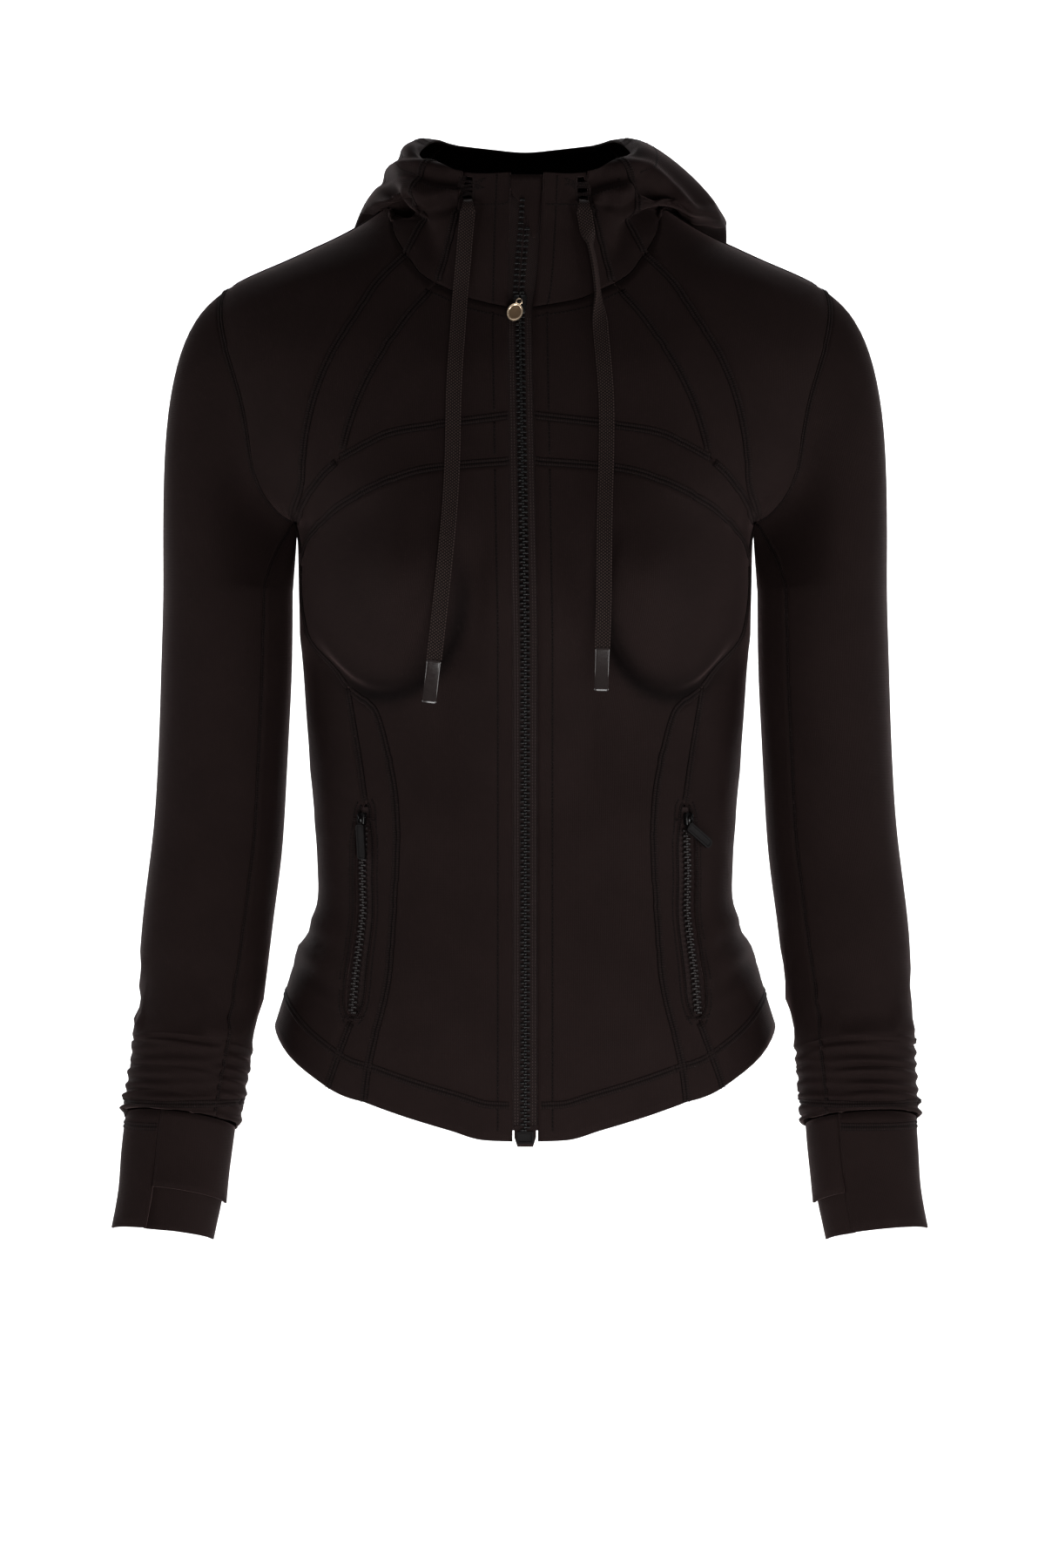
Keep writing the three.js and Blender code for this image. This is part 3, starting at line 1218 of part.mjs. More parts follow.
const cord = { wide: 9.4, thick: 1.6, steps: 22 };
const tip = { wide: 9, thick: 2.6, long: 26 };
const cordRoutes = {
  right: [
    [-35.5, -60.6, 4], [-37, -63.6, -11], [-38.2, -66.3, -27], [-40, -68.4, -46], [-41.6, -77.2, -72],
    [-43, -85, -92], [-44, -90.8, -115], [-44.5, -98.6, -148], [-45.8, -108, -178],
    [-48.5, -117.2, -210], [-51.5, -119.5, -240], [-55.5, -119.3, -275.5],
  ],
  left: [
    [36.5, -60, 4], [39, -63, -11], [42.7, -64.8, -28], [45, -67.8, -47], [46.6, -76.8, -72],
    [48.3, -84.6, -92], [49.8, -90.4, -115], [49.7, -98.5, -148], [48.7, -108.1, -179],
    [48.1, -117, -211], [47.8, -119.2, -240], [47, -119, -268],
  ],
};
// A flat section with its corners cut.
function flatShape(wide, thick) {
  const x = wide / 2;
  const y = thick / 2;
  const cut = y * 0.6;
  return new THREE.Shape([
    new THREE.Vector2(-x, -y + cut), new THREE.Vector2(-x + cut, -y), new THREE.Vector2(x - cut, -y),
    new THREE.Vector2(x, -y + cut), new THREE.Vector2(x, y - cut), new THREE.Vector2(x - cut, y),
    new THREE.Vector2(-x + cut, y), new THREE.Vector2(-x, y - cut),
  ]);
}
function addCord({ tag }) {
  const points = cordRoutes[tag].map(([x, y, z]) => new THREE.Vector3(x, y, z));
  const route = new THREE.CatmullRomCurve3(points, false, "centripetal");
  const sweep = { steps: cord.steps, extrudePath: route };
  add(`drawcord_${tag}`, new THREE.ExtrudeGeometry(flatShape(cord.wide, cord.thick), sweep), cordWeave);
  const end = points[points.length - 1];
  const along = route.getTangent(1);
  const body = new THREE.ExtrudeGeometry(flatShape(tip.wide, tip.thick),
    { depth: tip.long, bevelEnabled: false });
  const mesh = add(`cord_tip_${tag}`, body, tipPlastic);
  mesh.quaternion.setFromUnitVectors(new THREE.Vector3(0, 0, 1), along);
  mesh.position.copy(end).addScaledVector(along, 0.3);
}
sides.forEach(addCord);

export default jacket;
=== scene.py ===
# A hooded jersey jacket: cloth panels, sewing, zips, drawcords, studio.
import json
import math

import bmesh
import bpy
import numpy as np
from mathutils import Matrix, Vector
from mathutils.bvhtree import BVHTree
from mathutils.kdtree import KDTree


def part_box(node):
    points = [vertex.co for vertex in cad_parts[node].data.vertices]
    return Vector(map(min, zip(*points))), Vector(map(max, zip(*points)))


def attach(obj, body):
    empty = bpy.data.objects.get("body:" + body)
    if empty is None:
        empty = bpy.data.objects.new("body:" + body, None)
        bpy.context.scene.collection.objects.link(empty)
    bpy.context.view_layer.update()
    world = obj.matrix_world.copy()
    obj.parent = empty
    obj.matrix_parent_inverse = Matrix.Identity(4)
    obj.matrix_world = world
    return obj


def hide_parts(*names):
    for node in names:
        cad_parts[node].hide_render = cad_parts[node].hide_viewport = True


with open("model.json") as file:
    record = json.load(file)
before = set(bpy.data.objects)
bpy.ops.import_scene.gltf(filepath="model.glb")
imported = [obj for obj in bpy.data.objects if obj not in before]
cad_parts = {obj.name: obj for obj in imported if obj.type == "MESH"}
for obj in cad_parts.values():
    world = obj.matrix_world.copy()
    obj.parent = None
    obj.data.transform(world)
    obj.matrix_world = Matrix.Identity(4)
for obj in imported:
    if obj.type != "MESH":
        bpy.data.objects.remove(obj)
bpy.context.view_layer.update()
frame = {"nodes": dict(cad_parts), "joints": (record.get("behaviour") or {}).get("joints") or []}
mm = 0.001
nodes = frame["nodes"]
print("frame loaded")


view = {
    "distance": 3.2,        # from the jacket's middle
    "across": -1.65 * mm,
    "height": -351 * mm,
    "frameHeight": 0.99,    # what the picture's long side covers at the jacket
    "floor": -1.25,
}


def makeCamera():
    data = bpy.data.cameras.new("camera")
    data.sensor_width = 36
    data.lens = 36 * view["distance"] / view["frameHeight"]
    data.clip_end = 50
    camera = bpy.data.objects.new("camera", data)
    camera.location = (view["across"], -view["distance"], view["height"])
    camera.rotation_euler = (math.pi / 2, 0, 0)
    bpy.context.collection.objects.link(camera)
    bpy.context.scene.camera = camera


def setInputs(node, values):
    for label, value in values.items():
        node.inputs[label].default_value = value


def newMaterial(name, roughness, metallic=0.0):
    material = bpy.data.materials.new(name)
    material.use_nodes = True
    tree = material.node_tree
    shader = tree.nodes["Principled BSDF"]
    setInputs(shader, {"Roughness": roughness, "Metallic": metallic})
    return material, tree, shader


studio = {
    "width": 9, "behind": 5.2, "before": 5.2, "height": 6.5,
    "bend": 1.4, "bendSteps": 12,               # the curve between the floor and the wall
    "paper": (0.86, 0.86, 0.87), "glow": 0.4,   # its colour, and how much it shines by itself
    "sky": 0.16,                                # light from all round
}
studioLights = [                # name, place, target, size, power
    ("left_light", (-2.4, -0.5, -0.6), (0, 0, -0.4), 1.1, 27),
    ("right_light", (2.4, -0.7, -0.7), (0, 0, -0.4), 1.1, 35),
    ("front_light", (0.1, -0.9, -0.66), (0.04, 0, -0.52), 0.5, 6.8),
    ("top_light", (0.0, -1.2, 1.7), (0, 0.05, 0.03), 0.8, 3),
    ("back_light_left", (-1.6, 2.4, 0.1), (0, 0.1, -0.3), 1.0, 15),
    ("back_light_right", (1.6, 2.4, 0.1), (0, 0.1, -0.3), 1.0, 15),
    ("backdrop_light", (0, 2.8, 3.2), (0, 5.2, 0.3), 2.0, 260),
]


def makeStudio():
    behind, bend, steps = studio["behind"], studio["bend"], studio["bendSteps"]
    profile = [(-studio["before"], 0), (behind - bend, 0)]
    for i in range(1, steps + 1):
        angle = math.pi / 2 * i / steps
        profile.append((behind - bend + bend * math.sin(angle), bend - bend * math.cos(angle)))
    profile.append((behind, studio["height"]))
    verts = [(x, y, view["floor"] + z) for y, z in profile for x in (-studio["width"], studio["width"])]
    faces = [(2 * i, 2 * i + 1, 2 * i + 3, 2 * i + 2) for i in range(len(profile) - 1)]
    mesh = bpy.data.meshes.new("studio_sweep")
    mesh.from_pydata(verts, [], faces)
    mesh.shade_smooth()
    sweep = bpy.data.objects.new("studio_sweep", mesh)
    bpy.context.collection.objects.link(sweep)
    paper, _, shader = newMaterial("studio_paper", 0.9)
    setInputs(shader, {"Base Color": (*studio["paper"], 1), "Emission Color": (1, 1, 1, 1),
                       "Emission Strength": studio["glow"]})
    mesh.materials.append(paper)
    world = bpy.data.worlds.new("studio_world")
    world.use_nodes = True
    setInputs(world.node_tree.nodes["Background"], {"Color": (1, 1, 1, 1), "Strength": studio["sky"]})
    bpy.context.scene.world = world
    for name, place, target, size, power in studioLights:
        data = bpy.data.lights.new(name, "AREA")
        data.energy, data.size = power, size
        light = bpy.data.objects.new(name, data)
        light.location = place
        aim = Vector(target) - light.location
        light.rotation_euler = aim.to_track_quat("-Z", "Y").to_euler()
        bpy.context.collection.objects.link(light)
    bpy.context.scene.view_settings.view_transform = "Standard"


makeCamera()
makeStudio()
print("camera and studio made")


def groupTree(name, inputs, outputs):
    tree = bpy.data.node_groups.new(name, "ShaderNodeTree")
    for label, kind, value in inputs:
        socket = tree.interface.new_socket(label, in_out="INPUT", socket_type=kind)
        if value is not None:
            socket.default_value = value
    for label, kind in outputs:
        tree.interface.new_socket(label, in_out="OUTPUT", socket_type=kind)
    return tree, tree.nodes.new("NodeGroupInput"), tree.nodes.new("NodeGroupOutput")


def mathNode(tree, operation, first, second=None, third=None):
    node = tree.nodes.new("ShaderNodeMath")
    node.operation = operation
    for slot, value in enumerate((first, second, third)):
        if value is None:
            continue
        if isinstance(value, (int, float)):
            node.inputs[slot].default_value = value
        else:
            tree.links.new(value, node.inputs[slot])
    return node.outputs[0]


def makeKnitGroup():
    # Rows of knit loops: columns along V, with a V-shaped leg on each side of every column.
    tree, start, end = groupTree("knitLoops", [
        ("UV", "NodeSocketVector", None), ("Column", "NodeSocketFloat", 0.9 * mm),
        ("Row", "NodeSocketFloat", 0.7 * mm)], [("Height", "NodeSocketFloat"), ("Cloud", "NodeSocketFloat")])
    split = tree.nodes.new("ShaderNodeSeparateXYZ")
    tree.links.new(start.outputs["UV"], split.inputs[0])
    u = mathNode(tree, "DIVIDE", split.outputs[0], start.outputs["Column"])
    v = mathNode(tree, "DIVIDE", split.outputs[1], start.outputs["Row"])
    leg = mathNode(tree, "ABSOLUTE", mathNode(tree, "SUBTRACT", mathNode(tree, "FRACT", u), 0.5))
    slanted = mathNode(tree, "ADD", v, leg)
    ripple = mathNode(tree, "SINE", mathNode(tree, "MULTIPLY", slanted, 2 * math.pi))
    column = mathNode(tree, "COSINE", mathNode(tree, "MULTIPLY", u, 2 * math.pi))
    height = mathNode(tree, "ADD", mathNode(tree, "MULTIPLY", ripple, 0.3),
                      mathNode(tree, "MULTIPLY", column, -0.35))
    tree.links.new(mathNode(tree, "ADD", height, 0.5), end.inputs["Height"])
    cloud = tree.nodes.new("ShaderNodeTexNoise")
    setInputs(cloud, {"Scale": 26, "Detail": 5})
    tree.links.new(start.outputs["UV"], cloud.inputs["Vector"])
    tree.links.new(cloud.outputs["Fac"], end.inputs["Cloud"])
    return tree


def makeWeaveGroup():
    # Ribs across a tape or cord, offset from column to column as in a plain braid.
    tree, start, end = groupTree("braidRibs", [
        ("UV", "NodeSocketVector", None), ("Pitch", "NodeSocketFloat", 1.0 * mm),
        ("Columns", "NodeSocketFloat", 1.2 * mm)], [("Height", "NodeSocketFloat")])
    split = tree.nodes.new("ShaderNodeSeparateXYZ")
    tree.links.new(start.outputs["UV"], split.inputs[0])
    column = mathNode(tree, "DIVIDE", split.outputs[0], start.outputs["Columns"])
    row = mathNode(tree, "DIVIDE", split.outputs[1], start.outputs["Pitch"])
    step = mathNode(tree, "MULTIPLY", mathNode(tree, "FLOOR", column), 0.5)
    turn = mathNode(tree, "MULTIPLY", mathNode(tree, "ADD", row, step), 2 * math.pi)
    rib = mathNode(tree, "MULTIPLY_ADD", mathNode(tree, "SINE", turn), 0.5, 0.5)
    bulge = mathNode(tree, "SINE", mathNode(tree, "MULTIPLY", mathNode(tree, "FRACT", column), math.pi))
    tree.links.new(mathNode(tree, "MULTIPLY", rib, bulge), end.inputs["Height"])
    return tree


knitGroup = makeKnitGroup()
weaveGroup = makeWeaveGroup()
clothGloss = 0.04
clothShine = {"Sheen Tint": (1.0, 0.66, 0.64, 1), "Specular IOR Level": clothGloss}
paintedShadeColor = (0.0008, 0.0004, 0.0004)      # painted shade deep in the crease under the bust


def mixColors(tree, factor, first, second):
    node = tree.nodes.new("ShaderNodeMix")
    node.data_type = "RGBA"
    for slot, color in ((6, first), (7, second)):       # the colour sockets of a node that mixes many kinds
        if isinstance(color, tuple):
            node.inputs[slot].default_value = (*color, 1)
        else:
            tree.links.new(color, node.inputs[slot])
    tree.links.new(factor, node.inputs[0])
    return node.outputs[2]


def bumpFrom(tree, height, strength, distance, shader):
    node = tree.nodes.new("ShaderNodeBump")
    setInputs(node, {"Strength": strength, "Distance": distance})
    tree.links.new(height, node.inputs["Height"])
    tree.links.new(node.outputs["Normal"], shader.inputs["Normal"])


def coordinates(tree, output="UV"):
    return tree.nodes.new("ShaderNodeTexCoord").outputs[output]


def jerseyMaterial(name, dark, light, sheen):
    material, tree, shader = newMaterial(name, 0.82)
    knit = tree.nodes.new("ShaderNodeGroup")
    knit.node_tree = knitGroup
    tree.links.new(coordinates(tree), knit.inputs["UV"])
    setInputs(knit, {"Column": 1.0 * mm, "Row": 0.8 * mm})
    # The colour is part random cloud and part painted shade of the knit loops, darker where they sink.
    shade = mathNode(tree, "ADD", mathNode(tree, "MULTIPLY", knit.outputs["Height"], 0.45),
                     mathNode(tree, "MULTIPLY", knit.outputs["Cloud"], 0.55))
    # Painted shade: this attribute darkens the cloth towards the painted shade colour in the crease under the
    # bust.
    paintedShade = tree.nodes.new("ShaderNodeAttribute")
    paintedShade.attribute_name = "paintedShade"
    depth = mathNode(tree, "MULTIPLY", paintedShade.outputs["Fac"], 0.8)
    cloth = mixColors(tree, shade, dark, light)
    tree.links.new(mixColors(tree, depth, cloth, paintedShadeColor), shader.inputs["Base Color"])
    bumpFrom(tree, knit.outputs["Height"], 0.35, 0.25 * mm, shader)
    setInputs(shader, {"Sheen Weight": sheen, "Sheen Roughness": 0.28, **clothShine})
    return material


def wovenMaterial(name, dark, light, pitch, columns, sheen=0.1):
    material, tree, shader = newMaterial(name, 0.7)
    weave = tree.nodes.new("ShaderNodeGroup")
    weave.node_tree = weaveGroup
    tree.links.new(coordinates(tree), weave.inputs["UV"])
    setInputs(weave, {"Pitch": pitch, "Columns": columns})
    # Painted shade and highlight: the colour runs from dark in the rib valleys and column edges to light on
    # the rib tops.
    tree.links.new(mixColors(tree, weave.outputs["Height"], dark, light), shader.inputs["Base Color"])
    bumpFrom(tree, weave.outputs["Height"], 0.6, 0.3 * mm, shader)
    setInputs(shader, {"Sheen Weight": sheen, **clothShine})
    return material


def smoothMask(tree, value, start, end):
    node = tree.nodes.new("ShaderNodeMapRange")
    node.interpolation_type = "SMOOTHSTEP"
    setInputs(node, {"From Min": start, "From Max": end})
    tree.links.new(value, node.inputs["Value"])
    return node.outputs["Result"]


def mouldedMaterial(name, color, roughness, metallic=0.0, coat=0.0, grain=0.15, gloss=0.5):
    # One colour with a fine grain; a small share of the grain also varies the roughness.
    material, tree, shader = newMaterial(name, roughness, metallic)
    noise = tree.nodes.new("ShaderNodeTexNoise")
    setInputs(noise, {"Scale": 900, "Detail": 3})
    tree.links.new(coordinates(tree, "Object"), noise.inputs["Vector"])
    lighter = tuple(c * 1.5 + 0.002 for c in color)
    tree.links.new(mixColors(tree, noise.outputs["Fac"], color, lighter), shader.inputs["Base Color"])
    rough = mathNode(tree, "MULTIPLY_ADD", noise.outputs["Fac"], 0.25, roughness - 0.12)
    tree.links.new(rough, shader.inputs["Roughness"])
    bumpFrom(tree, noise.outputs["Fac"], grain, 0.06 * mm, shader)
    setInputs(shader, {"Specular IOR Level": gloss, "Coat Weight": coat, "Coat Roughness": 0.08})
    return material


def coverStitchMaterial(name, dark, light, thread):
    # U runs across the seam from -0.5 to 0.5 and V along it in metres: painted shade in the needle groove
    # down the middle and along both edges, with thread laid between them.
    material, tree, shader = newMaterial(name, 0.8)
    split = tree.nodes.new("ShaderNodeSeparateXYZ")
    tree.links.new(coordinates(tree), split.inputs[0])
    aside = mathNode(tree, "ABSOLUTE", split.outputs[0])
    # Painted shade: near black in the middle groove and along both edges of the seam.
    paintedGrooveShade = mathNode(tree, "SUBTRACT", 1.0, smoothMask(tree, aside, 0.02, 0.10))
    edge = smoothMask(tree, aside, 0.38, 0.47)
    valley = mathNode(tree, "MAXIMUM", paintedGrooveShade, edge)
    bars = mathNode(tree, "SINE", mathNode(tree, "MULTIPLY", split.outputs[1], 2 * math.pi / (1.5 * mm)))
    bars = mathNode(tree, "MULTIPLY_ADD", bars, 0.5, 0.5)
    base = mixColors(tree, bars, light, thread)
    tree.links.new(mixColors(tree, valley, base, dark), shader.inputs["Base Color"])
    bumpFrom(tree, bars, 0.5, 0.3 * mm, shader)
    setInputs(shader, {"Sheen Weight": 0.015, **clothShine})
    return material


jersey = jerseyMaterial("jersey", (0.0048, 0.0027, 0.0025), (0.0115, 0.0068, 0.0063), 0.07)
# The first colour is painted shade for the seam's grooves.
seamCloth = coverStitchMaterial("cover_stitch", (0.0005, 0.0003, 0.0003), (0.0038, 0.0022, 0.0021),
                                (0.0094, 0.0061, 0.0057))
thread = mouldedMaterial("sewing_thread", (0.0072, 0.0046, 0.0043), 0.75, grain=0.4, gloss=clothGloss)
tapeThread = mouldedMaterial("tape_thread", (0.042, 0.031, 0.0295), 0.7, grain=0.4, gloss=0.06)
# Each weave's first colour is painted shade for its rib valleys, its second the lit rib tops.
tapeWeave = wovenMaterial("zip_tape_weave", (0.0040, 0.0025, 0.0024), (0.0260, 0.0175, 0.0165),
                          1.1 * mm, 0.9 * mm)
cordWeave = wovenMaterial("drawcord_weave", (0.0006, 0.0004, 0.0004), (0.0360, 0.0240, 0.0212),
                          1.9 * mm, 1.2 * mm, sheen=0.03)
toothPlastic = mouldedMaterial("zip_tooth_plastic", (0.0010, 0.0007, 0.0007), 0.2, grain=0.05, gloss=0.13)
pocketTooth = mouldedMaterial("pocket_tooth_plastic", (0.0052, 0.0036, 0.0034), 0.3, grain=0.05, gloss=0.2)
sliderEnamel = mouldedMaterial("slider_enamel", (0.0015, 0.0012, 0.0012), 0.24, grain=0.05, gloss=0.25)
paleGold = mouldedMaterial("pale_gold", (0.78, 0.60, 0.43), 0.24, metallic=1.0, grain=0.05)
goldShade = mouldedMaterial("pale_gold_field", (0.16, 0.105, 0.062), 0.42, metallic=1.0, grain=0.2)
pullRubber = mouldedMaterial("pull_rubber", (0.0014, 0.0009, 0.0009), 0.5, gloss=0.05)
tipShell = mouldedMaterial("cord_tip_shell", (0.0085, 0.0056, 0.0052), 0.16, coat=0.35, grain=0.05, gloss=0.3)
print("materials made")


def meshObject(name, verts, faces, material, uvs=None, smooth=True):
    mesh = bpy.data.meshes.new(name)
    mesh.from_pydata([tuple(v) for v in verts], [], faces)
    mesh.materials.append(material)
    if smooth:
        mesh.shade_smooth()
    if uvs is not None:
        layer = mesh.uv_layers.new(name="UVMap")
        for loop in mesh.loops:
            layer.data[loop.index].uv = uvs[loop.vertex_index]
    piece = bpy.data.objects.new(name, mesh)
    bpy.context.collection.objects.link(piece)
    return piece


def onJacket(piece, slot, *replaced, body="jacket"):
    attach(piece, body)
    if replaced:
        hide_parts(*replaced)
    return piece


def selectOnly(piece):
    bpy.ops.object.select_all(action="DESELECT")
    piece.select_set(True)
    bpy.context.view_layer.objects.active = piece


def applyModifiers(piece):
    selectOnly(piece)
    for modifier in list(piece.modifiers):
        bpy.ops.object.modifier_apply(modifier=modifier.name)


def eased(values, start, end):
    t = np.clip((values - start) / (end - start), 0, 1)
    return t * t * (3 - 2 * t)


def riseAndFall(values, grow, full, fade, end):
    # From 0 at grow to 1 at full, and from 1 at fade back to 0 at end.
    return eased(values, grow, full) * (1 - eased(values, fade, end))


cordSizes = {
    "width": 9.4 * mm,
    "thick": 1.5 * mm,
    "selvedge": 0.25 * mm,      # how far the edges stand above the middle
    "rib": 1.9 * mm,            # from one woven rib to the next
    "ribRise": 0.2 * mm,
    "ribbed": 0.42,             # how much of the width the ribs cover, to each side
    "edgeOn": (6, 18, 46, 72),  # how far down the left cord turns on its edge and back, in mm
    "edgeTurn": 1.25,           # in radians
    # The root's way from the buttonhole back to the cord's top, from the top, and its width along it.
    "root": [(0, 10, 7.2), (0, 6.5, 6.8), (0, 2.8, 5.4), (0, 0.8, 3.0), (0, 0, 0.3), (0, 0, -1.5)],
    "rootShares": [0, 0.35, 0.6, 0.88, 1],
    "rootWidths": [0.62, 0.66, 0.74, 0.98, 0.99],
}
cordRoutes = {                  # points down each cord, in mm
    "right": [
        [-35.5, -60.6, 4], [-37, -63.6, -11], [-38.2, -66.3, -27], [-40, -68.4, -46], [-41.6, -77.2, -72],
        [-43, -85, -92], [-44, -90.8, -115], [-44.5, -98.6, -148], [-45.8, -108, -178],
        [-48.5, -117.2, -210], [-51.5, -119.5, -240], [-55.5, -119.3, -275.5]],
    "left": [
        [36.5, -60, 4], [39, -63, -11], [42.7, -64.8, -28], [45, -67.8, -47], [46.6, -76.8, -72],
        [48.3, -84.6, -92], [49.8, -90.4, -115], [49.7, -98.5, -148], [48.7, -108.1, -179],
        [48.1, -117, -211], [47.8, -119.2, -240], [47, -119, -268]],
}


def curveThrough(points, steps):
    # A centripetal Catmull-Rom curve, with its ends carried straight on.
    p = [np.array(q, float) for q in points]
    p = [2 * p[0] - p[1]] + p + [2 * p[-1] - p[-2]]
    out = []
    for i in range(1, len(p) - 2):
        knots = [0.0]
        for j in range(3):
            knots.append(knots[-1] + max(np.linalg.norm(p[i + j] - p[i + j - 1]) ** 0.5, 1e-6))
        for t in np.linspace(knots[1], knots[2], steps, endpoint=False):
            a = [((knots[j + 1] - t) * p[i - 1 + j] + (t - knots[j]) * p[i + j]) / (knots[j + 1] - knots[j])
                 for j in range(3)]
            b = [((knots[j + 2] - t) * a[j] + (t - knots[j]) * a[j + 1]) / (knots[j + 2] - knots[j])
                 for j in range(2)]
            out.append(((knots[2] - t) * b[0] + (t - knots[1]) * b[1]) / (knots[2] - knots[1]))
    out.append(p[-2])
    return np.array(out)


def unitRows(vectors):
    return vectors / np.maximum(np.linalg.norm(vectors, axis=1, keepdims=True), 1e-12)


def tangentsOf(path):
    return unitRows(np.gradient(path, axis=0))


def lengthsAlong(path):
    # How far along the path each of its points is.
    return np.concatenate([[0], np.cumsum(np.linalg.norm(np.diff(path, axis=0), axis=1))])


def unitCross(first, second):
    side = np.cross(first, second)
    return side / np.linalg.norm(side)


def blunt(value, power):
    # Turns a circle's sine or cosine into that of a rounded box.
    return math.copysign(abs(value) ** power, value)


def addBands(faces, base, rings, count):
    # The faces between rings of points that follow one another from number base.
    for start in range(base, base + (rings - 1) * count, count):
        for k in range(count):
            a, b = start + k, start + (k + 1) % count
            faces.append((a, b, b + count, a + count))


def addTube(faces, base, rings, count):
    addBands(faces, base, rings, count)
    last = base + (rings - 1) * count
    faces.append(tuple(reversed(range(base, base + count))))
    faces.append(tuple(range(last, last + count)))


def flatSection(width, thick, selvedge):
    # A flat cord's outline: its front from side to side, then its back.
    half, deep = width / 2, thick / 2
    across = [-1, -0.94, -0.82, -0.7, -0.3, 0, 0.3, 0.7, 0.82, 0.94, 1]
    rise = [0.35, 0.9, 1.0, 1.0, 1.0, 1.0, 1.0, 1.0, 1.0, 0.9, 0.35]
    edge = [1, 1, 1, 0.15, 0, 0, 0, 0.15, 1, 1, 1]
    face = [(a * half, r * deep + (e - 1) * selvedge * (1 if abs(a) < 0.9 else 0))
            for a, r, e in zip(across, rise, edge)]
    return face + [(x, -y) for x, y in reversed(face)]


def sweepFlat(name, path, section, material, frontAt, narrow=None):
    # The section carried along the path, swelling a little at every woven rib.
    narrow = np.ones(len(path)) if narrow is None else narrow
    count = len(section)
    verts, uvs, faces = [], [], []
    for point, tangent, length, share in zip(path, tangentsOf(path), lengthsAlong(path), narrow):
        side = unitCross(tangent, frontAt(point))
        front = np.cross(side, tangent)
        swell = cordSizes["ribRise"] * math.cos(2 * math.pi * length / cordSizes["rib"])
        for x, y in section:
            inside = abs(x) < cordSizes["ribbed"] * cordSizes["width"]
            verts.append(point + side * x * share + front * (y + math.copysign(swell * inside, y)))
            uvs.append((x, length))
    addBands(faces, 0, len(path), count)
    for ring in (0, len(path) - 1):
        first, half = ring * count, count // 2
        for k in range(half - 1):
            quad = (first + k, first + k + 1, first + count - 2 - k, first + count - 1 - k)
            faces.append(quad if ring else tuple(reversed(quad)))
    piece = meshObject(name, verts, faces, material, uvs)
    outwards(piece)
    return piece


def outwards(piece):
    mesh = bmesh.new()
    mesh.from_mesh(piece.data)
    bmesh.ops.recalc_face_normals(mesh, faces=mesh.faces)
    mesh.to_mesh(piece.data)
    mesh.free()


def leftCordFront(point):
    # Where the left cord faces: it turns on its edge below the collar and back again further down.
    turn = riseAndFall(-point[2] / mm, *cordSizes["edgeOn"]) * cordSizes["edgeTurn"]
    return np.array([math.sin(turn), -math.cos(turn), 0.25])


def rightCordFront(_):
    return np.array([0.12, -1, 0.3])


def makeCordRoot(tag, top, section):
    # Down out of the channel through the buttonhole, bunched up, to just below the cord's top.
    path = curveThrough([np.array(top) + np.array(step) * mm for step in cordSizes["root"]], 8)
    narrow = np.interp(np.linspace(0, 1, len(path)), cordSizes["rootShares"], cordSizes["rootWidths"])
    front = np.array([0.05 if tag == "left" else -0.05, -1, 0.3])
    root = sweepFlat(f"drawcord_root_{tag}", path, section, cordWeave, lambda _: front, narrow)
    return onJacket(root, "drawcord")


def makeCord(tag):
    path = curveThrough(np.array(cordRoutes[tag]) * mm, 44)
    section = flatSection(cordSizes["width"], cordSizes["thick"], cordSizes["selvedge"])
    front = leftCordFront if tag == "left" else rightCordFront
    piece = sweepFlat(f"flat_drawcord_{tag}", path, section, cordWeave, front)
    root = makeCordRoot(tag, path[0], section)
    onJacket(piece, "drawcord", f"drawcord_{tag}")
    tangent = tangentsOf(path)[-1]
    tip = makeCordTip(tag, path[-1] + tangent * 0.3 * mm, tangent)


tipSizes = {
    "width": 9.1 * mm, "thick": 2.7 * mm, "long": 26 * mm,
    "points": 28, "flatSides": 0.35, "flatFaces": 0.7,      # points round it, and how box-like its outline is
    "rings": [                  # how far down each ring is, as a share of the length, and its size
        (0, 0.93), (0.02, 0.99), (0.05, 1.0), (0.07, 0.955), (0.5, 0.95), (0.93, 0.955), (0.95, 1.0),
        (0.98, 0.99), (1, 0.9)],
}


def makeCordTip(tag, top, tangent):
    side = unitCross(tangent, (0, -1, 0))
    front = np.cross(side, tangent)
    verts, faces, count = [], [], tipSizes["points"]
    for share, scale in tipSizes["rings"]:
        centre = top + tangent * share * tipSizes["long"]
        for k in range(count):
            angle = 2 * math.pi * k / count
            x = tipSizes["width"] / 2 * scale * blunt(math.cos(angle), tipSizes["flatSides"])
            y = tipSizes["thick"] / 2 * scale * blunt(math.sin(angle), tipSizes["flatFaces"])
            verts.append(centre + side * x + front * y)
    addTube(faces, 0, len(tipSizes["rings"]), count)
    piece = meshObject(f"glossy_cord_tip_{tag}", verts, faces, tipShell)
    outwards(piece)
    selectOnly(piece)
    bpy.ops.object.shade_smooth_by_angle(angle=math.radians(40))
    return onJacket(piece, "cord_tip", f"cord_tip_{tag}")


for tag in ("right", "left"):
    makeCord(tag)


